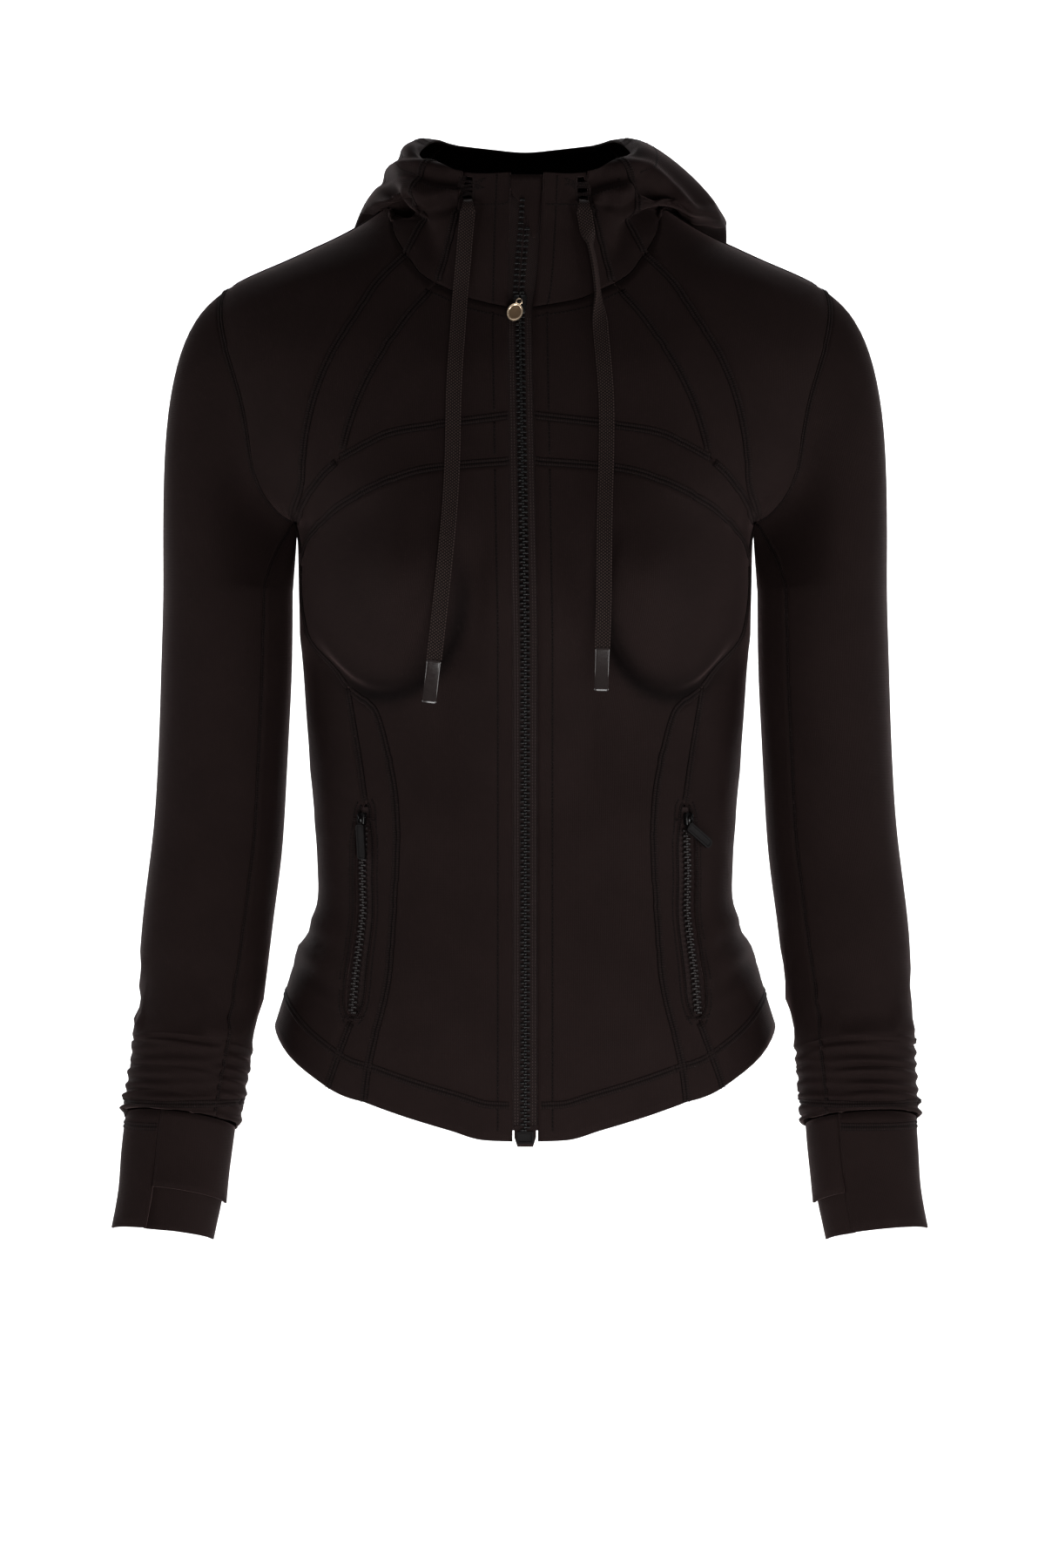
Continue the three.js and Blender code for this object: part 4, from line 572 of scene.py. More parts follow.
sides = ("left", "right")
torsoParts = ["chest_panel", "princess_strip", "shoulder_panel", "bust_band", "front_panel", "waist_strip",
              "side_panel", "collar_front"]
sleeveParts = ["sleeve_upper", "sleeve_under", "cuff_strip", "cuff_flap", "cuff_tip"]
hoodParts = ["hood_gusset", "hood_side"]
clothNodes = [f"{part}_{tag}" for part in torsoParts + sleeveParts + hoodParts for tag in sides]
clothNodes += ["hood_centre", "back"]
hoodRing = [Vector(p) * mm for p in (
    (-75, -10, 0), (-100, 40, 0), (-70, 95, -30), (0, 118, -30), (70, 95, -30), (100, 40, 0), (75, -10, 0))]
clothSizes = {"thickness": 1.5 * mm, "levels": 2, "cornerAngle": 50}


def sideOf(name):
    return name.rsplit("_", 1)[1]


def partOf(name):
    return name.rsplit("_", 1)[0] if name.endswith(("_left", "_right")) else name


def middleAt(points):
    # The middle of a tube of cloth at each height.
    def middle(z):
        near = points[np.abs(points[:, 2] - z) < 0.02]
        if not len(near):
            near = points[np.argsort(np.abs(points[:, 2] - z))[:40]]
        low, high = near.min(0), near.max(0)
        return Vector(((low[0] + high[0]) / 2, (low[1] + high[1]) / 2, z))
    return middle


def pointsOf(names):
    return np.array([v.co for name in names for v in nodes[name].data.vertices])


armMiddles = {tag: middleAt(pointsOf([f"{p}_{tag}" for p in sleeveParts])) for tag in sides}
torsoMiddle = middleAt(pointsOf([f"{p}_{t}" for p in torsoParts[:-1] for t in sides] + ["back"]))


def coreOf(name, point):
    if name.startswith(("sleeve", "cuff")):
        return armMiddles[sideOf(name)](point.z)
    if name.startswith("hood"):
        best = None
        for a, b in zip(hoodRing, hoodRing[1:]):
            t = min(max((point - a).dot(b - a) / (b - a).length_squared, 0), 1)
            q = a + (b - a) * t
            if best is None or (q - point).length < (best - point).length:
                best = q
        return best
    middle = torsoMiddle(point.z)
    return Vector((0, middle.y, point.z))


def facesApart(mesh, walls, limit):
    # The faces in connected parts, largest first. No part crosses a wall or an edge sharper than the limit.
    seen, parts = set(walls), []
    for face in mesh.faces:
        if face.index in seen:
            continue
        stack, part = [face], []
        seen.add(face.index)
        while stack:
            current = stack.pop()
            part.append(current)
            for edge in current.edges:
                if edge.calc_face_angle(0) > limit:
                    continue
                for other in edge.link_faces:
                    if other.index not in seen:
                        seen.add(other.index)
                        stack.append(other)
        parts.append(part)
    return sorted(parts, key=lambda part: -sum(face.calc_area() for face in part))


def outerSheet(name, thick):
    # The outer face of a panel's wall, without its edges and its inner face.
    mesh = bmesh.new()
    mesh.from_mesh(nodes[name].data)
    bmesh.ops.remove_doubles(mesh, verts=mesh.verts, dist=1e-6)
    mesh.normal_update()
    tree = KDTree(len(mesh.verts))
    for vert in mesh.verts:
        tree.insert(vert.co, vert.index)
    tree.balance()
    nearest = {}
    for vert in mesh.verts:
        found = [(abs(d - thick), i) for _, i, d in tree.find_range(vert.co, 1.75 * thick)
                 if i != vert.index and d > 0.7 * thick]
        if found:
            nearest[vert.index] = min(found)[1]
    mutual = {i: j for i, j in nearest.items() if nearest.get(j) == i}
    rim = set()
    for edge in mesh.edges:
        a, b = edge.verts
        if mutual.get(a.index) == b.index:
            rim.update(f.index for f in edge.link_faces)
    mesh.faces.ensure_lookup_table()
    for limit in (180, 100, 75, 60):
        parts = facesApart(mesh, rim, math.radians(limit))
        sizes = [sum(face.calc_area() for face in part) for part in parts[:2]]
        if len(parts) > 1 and sizes[1] > 0.6 * sizes[0]:
            break

    def outwardness(part):
        total = 0
        for face in part:
            centre = face.calc_center_median()
            total += (centre - coreOf(name, centre)).normalized().dot(face.normal) * face.calc_area()
        return total

    keep = {face.index for face in max(parts[:2], key=outwardness)}
    bmesh.ops.delete(mesh, geom=[f for f in mesh.faces if f.index not in keep], context="FACES")
    bmesh.ops.join_triangles(mesh, faces=mesh.faces, angle_face_threshold=math.radians(60),
                             angle_shape_threshold=math.radians(60), cmp_seam=False, cmp_sharp=False,
                             cmp_uvs=False, cmp_vcols=False, cmp_materials=False)
    return mesh


def markCorners(mesh):
    layer = mesh.verts.layers.float.new("crease_vert")
    limit = math.radians(clothSizes["cornerAngle"])
    for vert in mesh.verts:
        rimEdges = [e for e in vert.link_edges if e.is_boundary]
        if len(rimEdges) != 2:
            continue
        first, second = [(e.other_vert(vert).co - vert.co).normalized() for e in rimEdges]
        if math.pi - first.angle(second, 0) > limit:
            vert[layer] = 1.0


def fitLimit(piece):
    # Moves the control points until the subdivided surface passes through the panel's own points.
    mesh = piece.data
    count = len(mesh.vertices)
    goal = np.array([v.co for v in mesh.vertices])
    control = goal.copy()
    for _ in range(3):
        mesh.vertices.foreach_set("co", control.ravel())
        mesh.update()
        evaluated = piece.evaluated_get(bpy.context.evaluated_depsgraph_get())
        flat = np.empty(len(evaluated.data.vertices) * 3)
        evaluated.data.vertices.foreach_get("co", flat)
        control += goal - flat.reshape(-1, 3)[:count]
    mesh.vertices.foreach_set("co", control.ravel())
    mesh.update()


softFolds = [
    # Lines on the cloth as seen from the front (X and Z in mm), how deep the valley along the line is and how
    # wide, and how high a ridge stands above it, as a share of the depth.
    ("hood", [(-92, 33), (-76, 32), (-62, 28), (-42, 22)], 3.5, 4, 0.7),
    ("hood", [(-88, 22), (-82, 15), (-77, 13)], 9, 6, 0.0),
    ("hood", [(-76, 10), (-63, 5), (-52, 7), (-44, 9)], 3.5, 4.5, 0.9),
    ("hood", [(40, 21), (56, 27), (75, 29), (90, 15), (103, -2)], 3.5, 4.5, 0.8),
    ("hood", [(74, 20), (80, 20), (87, 18)], 8, 6, 0.0),
    ("hood", [(52, 10), (61, 8), (68, 12)], 3.0, 4, 0.6),
    ("hood", [(70, 44), (88, 34), (108, 16)], 2.0, 5, 0.5),
    ("hood", [(-84, 46), (-74, 42), (-62, 44)], 2.5, 4, 0.5),
    ("side_panel", [(-152, -438), (-140, -446), (-128, -452)], 2.2, 6, 0.8),
    ("side_panel", [(-154, -458), (-140, -466), (-126, -476)], 2.0, 6, 0.8),
    ("side_panel", [(150, -436), (140, -445), (127, -450)], 2.2, 6, 0.8),
    ("side_panel", [(154, -455), (142, -462), (126, -474)], 2.0, 6, 0.8),
]
ridgeAway = 1.9                 # how many widths from the valley its ridge stands
bust = {
    "right": (87, 50), "left": (91, 45),        # how far out each side's fullest place is, and half its width
    "height": -234, "tall": 63, "turn": 13,     # its height, half its height, and how quickly it turns in
    "past": 3,                                  # how far beyond its edge the cloth has turned in
    "under": 10, "inner": 6.5, "full": 2.0,     # pulled in below it and towards the zip, pushed out on it
    # Where each of these grows and where it fades again: down from the neck, and out from the middle.
    "underDown": (255, 285, 305, 390), "underOut": (18, 45, 128, 150),
    "innerDown": (182, 225, 268, 292), "innerOut": (16, 30, 60, 80),
    "fullAway": (20, 58), "fullOut": (58, 80),
    # The painted shade in the crease: its softness inside and outside the edge, and where it grows and fades.
    "creaseIn": 11, "creaseOut": 5, "creaseDown": (188, 262), "creaseFrom": (16, 36),
    "creasePast": (8, 40), "creaseLess": 0.8, "creaseFront": (0, 30),
}


def lineDistance(points, line):
    # Distance from the line in the front view: above it counts as more than 0.
    best = np.full(len(points), 1e9)
    for (ax, az), (bx, bz) in zip(line, line[1:]):
        direction = np.array([bx - ax, bz - az], float)
        length = np.linalg.norm(direction)
        direction /= length
        offset = points - (ax, az)
        share = np.clip(offset @ direction, 0, length)
        gap = offset - share[:, None] * direction
        above = np.sign(gap[:, 1] + 1e-9)
        distance = np.linalg.norm(gap, axis=1)
        closer = distance < np.abs(best)
        best[closer] = (distance * above)[closer]
    return best


pocketSizes = {                 # in mm
    "widen": 2.5,               # how far each edge of the slit moves aside
    "near": 3, "fade": 16,      # how far from the teeth this starts to fade, and where it ends
    "beyond": 2, "within": 10,  # where it starts above and below the teeth, and where it is full
    "front": 20,                # full this far in front of the shared frame's middle
    "bar": 7, "barAbove": 4, "barBelow": 1.5,       # the sewn bars at its ends: half length and place
}


def pocketLine(tag):
    # The middle of the pocket's teeth at even heights from top to bottom, in mm.
    points = pointsOf([f"pocket_teeth_{tag}"]) / mm
    steps, near = 12, 8
    heights = np.linspace(points[:, 2].max(), points[:, 2].min(), steps)
    rows = [points[np.abs(points[:, 2] - height) < near] for height in heights]
    return np.array([(row[:, 0].min() + row[:, 0].max()) / 2 for row in rows]), heights


pocketLines = {tag: pocketLine(tag) for tag in sides}


def openPocket(tag, points):
    # The slit's edges stand apart to show the whole width of the teeth.
    size, (middles, heights) = pocketSizes, pocketLines[tag]
    x, _, z = (points / mm).T
    offset = x - np.interp(-z, -heights, middles)
    top, bottom = -heights[0], -heights[-1]
    window = riseAndFall(-z, top - size["beyond"], top + size["within"],
                         bottom - size["within"], bottom + size["beyond"])
    front = eased(-points[:, 1] / mm, 0, size["front"])
    moved = points.copy()
    moved[:, 0] += (np.sign(offset) * size["widen"] * window * front
                    * (1 - eased(np.abs(offset), size["near"], size["fade"]))) * mm
    return moved


gathers = {                     # in mm
    "top": -452, "bottom": -578,        # where the pushed-up sleeve is gathered
    "topEase": 14, "bottomEase": 10,    # how softly it starts and ends
    "full": 0.9,                        # how far the plain sleeve stands out
    "keep": 0.35, "vary": 0.5,          # how much of each even ripple stays, and how unevenly
    "small": 0.9,                       # fine creases between them
    "waves": [(2, 0.09, 0, 0.6), (3, -0.05, 1.3, 0.4)],     # waves round the arm, turn per mm, start and size
    "leftTurn": 0.7,                    # how far round the left arm its creases are turned, in radians
    "tall": (-0.60, -0.36),             # the part of the arm that the plain sleeve is fitted to, in metres
}


def tubeTerms(angle, height):
    rows = [np.ones_like(angle)]
    for order in (1, 2, 3):
        rows += [np.cos(order * angle), np.sin(order * angle)]
    return np.stack([row * height ** power for row in rows for power in range(4)], 1)


def smoothTube(tag):
    # The sleeve's round form without its ripples, as a radius for each angle and height.
    points = pointsOf([f"sleeve_upper_{tag}", f"sleeve_under_{tag}"])
    low, high = gathers["tall"]
    points = points[(points[:, 2] < high) & (points[:, 2] > low)]
    angle, height, radius = aroundArm(tag, points)
    answer = np.linalg.lstsq(tubeTerms(angle, height), radius, rcond=None)[0]
    return lambda angle, height: tubeTerms(angle, height) @ answer


def aroundArm(tag, points):
    # Each point's angle round the arm, its height as a small number, and its distance from the arm's middle.
    middles = np.array([armMiddles[tag](z) for z in points[:, 2]])
    offset = points - middles
    return (np.arctan2(offset[:, 1], offset[:, 0]), (points[:, 2] + 0.5) / 0.1,
            np.hypot(offset[:, 0], offset[:, 1]))


tubes = {tag: smoothTube(tag) for tag in sides}


def gatherSleeve(tag, points):
    # Uneven waves round and down the sleeve, the same each time.
    angle, height, radius = aroundArm(tag, points)
    z = points[:, 2] / mm
    top, bottom = -gathers["top"], -gathers["bottom"]
    inside = riseAndFall(-z, top, top + gathers["topEase"], bottom - gathers["bottomEase"], bottom)
    plain = tubes[tag](angle, height) + gathers["full"] * mm
    turn = angle + (gathers["leftTurn"] if tag == "left" else 0)
    drift = sum(size * np.sin(order * turn + z * slope + start)
                for order, slope, start, size in gathers["waves"])
    keep = gathers["keep"] + gathers["vary"] * drift
    fine = gathers["small"] * mm * np.sin(z * 0.85 + 1.6 * np.sin(turn + 0.5) + 1.1 * np.sin(2 * turn)) * (
        0.4 + 0.6 * np.sin(turn * 2 + z * 0.03) ** 2)
    wanted = plain + (radius - plain) * keep + fine
    change = (wanted - radius) * inside
    moved = points.copy()
    moved[:, 0] += np.cos(angle) * change
    moved[:, 1] += np.sin(angle) * change
    return moved


def awayFromBust(name, flat):
    # How far each place is from the bust's fullest place, where "tall" is its edge all round.
    across, wide = bust[sideOf(name)]
    x, z = np.abs(flat[:, 0]), flat[:, 1]
    return np.hypot((x - across) / wide, (z - bust["height"]) / bust["tall"]) * bust["tall"]


def foldCloth(name, points, normals):
    # The soft folds and the bust's form, as a move along the cloth's own outward direction.
    flat = points[:, [0, 2]] / mm
    move = np.zeros(len(points))
    facing = eased(-normals[:, 1], -0.25, 0.25)
    for parts, line, depth, width, ridgeShare in softFolds:
        if not name.startswith(parts):
            continue
        distance = lineDistance(flat, line) / width
        valley = np.exp(-distance ** 2)
        ridge = np.exp(-(distance - ridgeAway) ** 2) * (distance > 0)
        move += depth * (ridgeShare * ridge - valley)
    if name.startswith(("front_panel", "side_panel", "waist_strip", "bust_band")):
        x, down, away = np.abs(flat[:, 0]), -flat[:, 1], awayFromBust(name, flat)
        past = bust["tall"] + bust["past"]
        outside = eased(away, past - bust["turn"], past)
        under = riseAndFall(down, *bust["underDown"]) * riseAndFall(x, *bust["underOut"])
        inner = riseAndFall(x, *bust["innerOut"]) * riseAndFall(down, *bust["innerDown"])
        move -= (bust["under"] * under + bust["inner"] * inner) * outside
        move += bust["full"] * (1 - eased(away, *bust["fullAway"])) * eased(x, *bust["fullOut"])
    return points + normals * (move * facing)[:, None] * mm


def paintedShadeUnderBust(name, points):
    # How much painted shade each point takes, from 0 to 1, by how deep in the crease below and inside the
    # bust it lies.
    if not name.startswith(("front_panel", "side_panel", "waist_strip")):
        return np.zeros(len(points))
    flat = points[:, [0, 2]] / mm
    x, down, beyond = np.abs(flat[:, 0]), -flat[:, 1], awayFromBust(name, flat) - bust["tall"]
    crease = np.exp(-(beyond / np.where(beyond < 0, bust["creaseIn"], bust["creaseOut"])) ** 2)
    outer = eased(x - bust[sideOf(name)][0], *bust["creasePast"])
    return (crease * eased(down, *bust["creaseDown"]) * eased(x, *bust["creaseFrom"])
            * (1 - bust["creaseLess"] * outer) * eased(-points[:, 1] / mm, *bust["creaseFront"]))


buttonhole = {                  # in mm
    "across": 36.2, "down": 6, "aside": 1.3,        # its place, how far its foot is dragged, how far it opens
    "downAt": (-6, 13, 13, 25), "downNear": (4, 11),        # the heights and distances over which this fades
    "asideAt": (5, 15, 20, 29), "asideNear": (3, 9),
}


def openButtonhole(tag, points):
    # The cord drags its buttonhole open into a tall almond.
    x, _, z = (points / mm).T
    aside = x - (buttonhole["across"] if tag == "left" else -buttonhole["across"])
    pull = riseAndFall(z, *buttonhole["downAt"]) * (1 - eased(np.abs(aside), *buttonhole["downNear"]))
    widen = riseAndFall(z, *buttonhole["asideAt"]) * (1 - eased(np.abs(aside), *buttonhole["asideNear"]))
    moved = points.copy()
    moved[:, 2] -= buttonhole["down"] * pull * mm
    moved[:, 0] += np.sign(aside) * buttonhole["aside"] * widen * mm
    return moved


cuffSizes = {                   # in mm
    "lift": 9, "liftBehind": (-6, 16), "liftDown": (596, 636),      # the back's rise, and where it grows
    "tipHeights": (-626, -588), "tipNear": (5, 14), "tipFront": (14, 20),
    "right": {"tipEdge": (229.5, 225.5), "tuck": 2.4},      # the tip's front edge, and how far it slips under
    "left": {"tipEdge": (203, 195), "tuck": 0.6},
}


def liftCuffBack(name, points):
    # The back of a cuff is cut a little higher than its front, so its edge looks level.
    tag = sideOf(name)
    x, y, z = (points / mm).T
    middle = np.array([armMiddles[tag](h).y for h in points[:, 2]]) / mm
    lifted = points.copy()
    lifted[:, 2] += (cuffSizes["lift"] * mm * eased(y - middle, *cuffSizes["liftBehind"])
                     * eased(-z, *cuffSizes["liftDown"]))
    if name.startswith("cuff_tip"):             # its front edge slips under the strip beside it
        edge = np.interp(z, cuffSizes["tipHeights"], cuffSizes[tag]["tipEdge"])
        near = 1 - eased(np.abs(np.abs(x) - edge), *cuffSizes["tipNear"])
        front = near * eased(middle - y, *cuffSizes["tipFront"])
        lifted[:, 0] += cuffSizes[tag]["tuck"] * np.sign(x) * front * mm
    return lifted


guardTuck = {"aside": 5, "wide": 9, "heights": (6, 16)}     # in mm


def shapeCloth(name, piece):
    mesh = piece.data
    points = np.array([v.co for v in mesh.vertices])
    normals = np.array([v.normal for v in mesh.vertices])
    points = foldCloth(name, points, normals)
    if name.startswith(("front_panel", "waist_strip", "side_panel")):
        points = openPocket(sideOf(name), points)
    if name.startswith("sleeve"):
        points = gatherSleeve(sideOf(name), points)
    if name.startswith("cuff"):
        points = liftCuffBack(name, points)
    if name.startswith("collar_front"):
        points = openButtonhole(sideOf(name), points)
    if name == "zip_guard":                     # its top tucks well under the collar's other end
        x, _, z = (points / mm).T
        edge = 1 - eased(x, x.min(), x.min() + guardTuck["wide"])
        points[:, 0] -= guardTuck["aside"] * mm * edge * eased(z, *guardTuck["heights"])
    # The painted shade under the bust, stored on each point for the cloth's material.
    paintedShade = mesh.attributes.new("paintedShade", "FLOAT", "POINT")
    paintedShade.data.foreach_set("value", paintedShadeUnderBust(name, points).astype(np.float32))
    mesh.vertices.foreach_set("co", points.ravel())
    mesh.update()


def unwrapToScale(piece):
    # Lays the panel flat, true to size, with V running up the cloth.
    selectOnly(piece)
    bpy.ops.object.mode_set(mode="EDIT")
    bpy.ops.mesh.select_all(action="SELECT")
    bpy.ops.uv.unwrap(method="ANGLE_BASED", margin=0)
    bpy.ops.object.mode_set(mode="OBJECT")
    mesh = piece.data
    layer = mesh.uv_layers.active
    uv = np.empty(len(mesh.loops) * 2)
    layer.data.foreach_get("uv", uv)
    uv = uv.reshape(-1, 2)
    place = np.array([mesh.vertices[loop.vertex_index].co for loop in mesh.loops])
    flatArea = 0.0
    for face in mesh.polygons:
        corners = uv[list(face.loop_indices)]
        flatArea += abs(sum(corners[i - 1][0] * corners[i][1] - corners[i][0] * corners[i - 1][1]
                            for i in range(len(corners)))) / 2
    area = sum(face.area for face in mesh.polygons)
    uv = (uv - uv.mean(0)) * math.sqrt(area / max(flatArea, 1e-12))
    slope = np.linalg.lstsq(np.c_[uv, np.ones(len(uv))], place[:, 2], rcond=None)[0][:2]
    uv = turned(uv, math.pi / 2 - math.atan2(slope[1], slope[0]))
    layer.data.foreach_set("uv", uv.ravel())
    return area, *cutSize(uv)


def turned(uv, angle):
    turn = np.array([[math.cos(angle), -math.sin(angle)], [math.sin(angle), math.cos(angle)]])
    return uv @ turn.T


def cutSize(uv):
    # The smallest rectangle of cloth that the flat panel can be cut from.
    best = None
    for angle in np.radians(np.arange(0, 90, 2)):
        size = sorted(np.ptp(turned(uv, angle), axis=0))
        if best is None or size[0] * size[1] < best[0] * best[1]:
            best = [float(size[0]), float(size[1])]
    return best


def makePanel(name, thick=clothSizes["thickness"], material=jersey):
    sheet = outerSheet(name, thick)
    markCorners(sheet)
    mesh = bpy.data.meshes.new(f"{name}_cloth")
    sheet.to_mesh(mesh)
    sheet.free()
    mesh.materials.clear()
    mesh.materials.append(material)
    piece = bpy.data.objects.new(f"{name}_cloth", mesh)
    bpy.context.collection.objects.link(piece)
    fine = piece.modifiers.new("fine", "SUBSURF")
    fine.levels = fine.render_levels = 1
    fine.boundary_smooth = "PRESERVE_CORNERS"
    fitLimit(piece)
    fine.levels = fine.render_levels = clothSizes["levels"] + name.startswith("hood")
    applyModifiers(piece)
    shapeCloth(name, piece)
    area, width, length = unwrapToScale(piece)
    piece.data.shade_smooth()
    return {"piece": piece, "area": area, "width": width, "length": length, "thick": thick}


cloth = {name: makePanel(name) for name in clothNodes}
print("panels made:", len(cloth))


def surfaceOf(names, panels=cloth):
    # One search tree over the outer faces of these panels.
    verts, faces = [], []
    for name in names:
        mesh = panels[name]["piece"].data
        base = len(verts)
        verts.extend(v.co.copy() for v in mesh.vertices)
        faces.extend([base + i for i in face.vertices] for face in mesh.polygons)
    return BVHTree.FromPolygons(verts, faces)


def boundaryLoops(mesh):
    # The panel's edge as loops of vertex numbers.
    grid = bmesh.new()
    grid.from_mesh(mesh)
    loops, used = [], set()
    for start in grid.edges:
        if not start.is_boundary or start.index in used:
            continue
        loop, vert, edge = [], start.verts[0], start
        while edge and edge.index not in used:
            used.add(edge.index)
            loop.append(vert.index)
            vert = edge.other_vert(vert)
            edge = next((e for e in vert.link_edges if e.is_boundary and e.index not in used), None)
        loops.append(loop)
    grid.free()
    return loops


for name, data in cloth.items():
    mesh = data["piece"].data
    data["points"] = np.array([v.co for v in mesh.vertices])
    data["normals"] = np.array([v.normal for v in mesh.vertices])
    data["loops"] = boundaryLoops(mesh)
    data["tree"] = surfaceOf([name])


seamSizes = {
    "width": 5.4 * mm,          # the covering stitch, over both humps
    "rise": 0.75 * mm,
    "reach": 1.7 * mm,          # panels nearer than this are joined
    "ringEvery": 3.4 * mm,
    "barEvery": 1.6 * mm,       # the threads laid across each hump, and where they start and end
    "barInner": 0.10, "barOuter": 0.44, "barSlant": 0.25 * mm,
    "barLess": 3 * mm,          # narrower seams have none
    "threadThick": 0.42 * mm,
}


def findSeams():
    # Runs of edge points with another panel close by, each seam found once.
    names = list(cloth)
    seams = []
    for index, name in enumerate(names):
        data = cloth[name]
        for loop in data["loops"]:
            neighbours = []
            for i in loop:
                point = Vector(data["points"][i])
                best = None
                for other in names:
                    if other == name:
                        continue
                    hit, normal, _, distance = cloth[other]["tree"].find_nearest(point, seamSizes["reach"])
                    if hit and (best is None or distance < best[1]):
                        best = (other, distance, hit, normal)
                neighbours.append(best)
            count = len(loop)
            others = [found and found[0] for found in neighbours]
            start = next((k for k in range(count) if others[k] != others[k - 1]), 0)
            run, runName = [], None
            for k in range(start, start + count + 1):
                found, other = neighbours[k % count], others[k % count]
                if other != runName or k == start + count:
                    if runName and index < names.index(runName) and len(run) > 3:
                        seams.append((name, runName, run))
                    run, runName = [], other
                if found:
                    i = loop[k % count]
                    middle = (Vector(data["points"][i]) + found[2]) / 2
                    normal = (Vector(data["normals"][i]) + found[3]).normalized()
                    run.append((np.array(middle), np.array(normal)))
    return seams


seams = findSeams()
total = sum(lengthsAlong([point for point, _ in run])[-1] for _, _, run in seams)
print("seams found:", len(seams), "metres:", round(float(total), 2))


def readAlong(at, lengths, values):
    return np.stack([np.interp(at, lengths, values[:, k]) for k in range(3)], 1)


def evenPath(points, step):
    # The same path with its points spaced evenly.
    points = np.array(points)
    lengths = lengthsAlong(points)
    count = max(int(round(lengths[-1] / step)), 2)
    return readAlong(np.linspace(0, lengths[-1], count + 1), lengths, points)


def smoothPath(points):
    points = np.array(points, float)
    for _ in range(2):
        points[1:-1] = points[1:-1] * 0.5 + (points[:-2] + points[2:]) * 0.25
    return points


allCloth = surfaceOf(list(cloth))


def onCloth(point, tree=None, reach=6 * mm):
    hit, normal, _, _ = (tree or allCloth).find_nearest(Vector(point), reach)
    if hit is None:
        return None
    return np.array(hit), np.array(normal)


def layOnCloth(points, tree=None):
    # Each point moved onto the cloth, with the cloth's direction outwards there.
    placed, normals = [], []
    for point in points:
        found = onCloth(point, tree)
        if found is None:
            found = (np.array(point), normals[-1] if normals else np.array([0, -1.0, 0]))
        placed.append(found[0])
        normals.append(found[1])
    return np.array(placed), unitRows(smoothPath(normals))


ridgeSection = [(-0.5, -0.5), (-0.45, 0.45), (-0.3, 1.0), (-0.12, 0.8), (0, -0.05), (0.12, 0.8), (0.3, 1.0),
                (0.45, 0.45), (0.5, -0.5)]


def addRidge(batch, points, normals, width, height, spread=1.0):
    # The section carried along the points, each corner kept on the cloth, lower at its two ends.
    base = len(batch["verts"])
    rings = zip(points, normals, tangentsOf(points), lengthsAlong(points))
    for i, (point, normal, tangent, length) in enumerate(rings):
        side = unitCross(tangent, normal)
        rise = height * min(1.0, 0.3 + min(i, len(points) - 1 - i) / 1.5)
        for x, y in ridgeSection:
            spot = point + side * x * width
            found = onCloth(spot, reach=3 * mm)
            batch["verts"].append((spot if found is None else found[0]) + normal * y * rise)
            batch["uvs"].append((x * spread, length))
    addTube(batch["faces"], base, len(points), len(ridgeSection))


def addStitch(batch, start, end, normal, thick):
    # One visible stitch: a short thread, thickest in the middle, sunk in at its ends.
    start, end = np.array(start), np.array(end)
    middle = (start + end) / 2
    along = end - start
    side = np.cross(along, normal)
    side *= thick / 2 / max(np.linalg.norm(side), 1e-9)
    rise = normal * thick / 2
    base = len(batch["verts"])
    batch["verts"].extend([start, middle + side, middle + rise, middle - side, middle - rise, end])
    for k in range(4):
        a, b = base + 1 + k, base + 1 + (k + 1) % 4
        batch["faces"].extend([(base, b, a), (base + 5, a, b)])


def newBatch():
    return {"verts": [], "faces": [], "uvs": []}


def finishBatch(name, batch, material, smooth=True):
    piece = meshObject(name, batch["verts"], batch["faces"], material, batch["uvs"] or None, smooth)
    outwards(piece)
    return onJacket(piece, "jersey")


slimSeams = {                   # seam width and height where it isn't the full covering stitch
    ("sleeve_upper", "sleeve_under"): (2.6 * mm, 0.4 * mm),
    ("shoulder_panel", "sleeve_upper"): (3.8 * mm, 0.6 * mm),
    ("side_panel", "sleeve_under"): (3.8 * mm, 0.6 * mm),
    ("side_panel", "sleeve_upper"): (3.8 * mm, 0.6 * mm),
    ("princess_strip", "sleeve_upper"): (3.8 * mm, 0.6 * mm),
}
plainSeams = {("chest_panel", "collar_front"), ("cuff_strip", "cuff_flap"), ("hood_centre", "back"),
              ("hood_side", "back"), ("shoulder_panel", "hood_side"), ("princess_strip", "hood_gusset")}


def makeSeams():
    size = seamSizes
    ridges = {"front": newBatch(), "arms": newBatch()}
    ladders = {"front": newBatch(), "arms": newBatch()}
    for first, second, run in seams:
        if (partOf(first), partOf(second)) in plainSeams:
            continue
        group = "arms" if first.startswith(("sleeve", "cuff")) else "front"
        path = evenPath(smoothPath([point for point, _ in run]), size["ringEvery"])
        points, normals = layOnCloth(path)
        width, rise = slimSeams.get((partOf(first), partOf(second)), (size["width"], size["rise"]))
        addRidge(ridges[group], points, normals, width, rise)
        if width < size["barLess"]:
            continue
        places, facing = layOnCloth(evenPath(points, size["barEvery"]))
        for place, normal, tangent in zip(places, facing, tangentsOf(places)):
            side = unitCross(tangent, normal)
            lift, slant = normal * rise * 0.95, tangent * size["barSlant"]
            for hand in (-1, 1):
                inner = place + side * hand * width * size["barInner"] + lift * 0.9 - slant
                outer = place + side * hand * width * size["barOuter"] + lift * 0.8 + slant
                addStitch(ladders[group], inner, outer, normal, size["threadThick"])
    for group in ridges:
        finishBatch(f"seam_ridges_{group}", ridges[group], seamCloth)
        finishBatch(f"seam_stitches_{group}", ladders[group], thread, smooth=False)
    print("seam faces:", {g: (len(ridges[g]["faces"]), len(ladders[g]["faces"])) for g in ridges})


makeSeams()


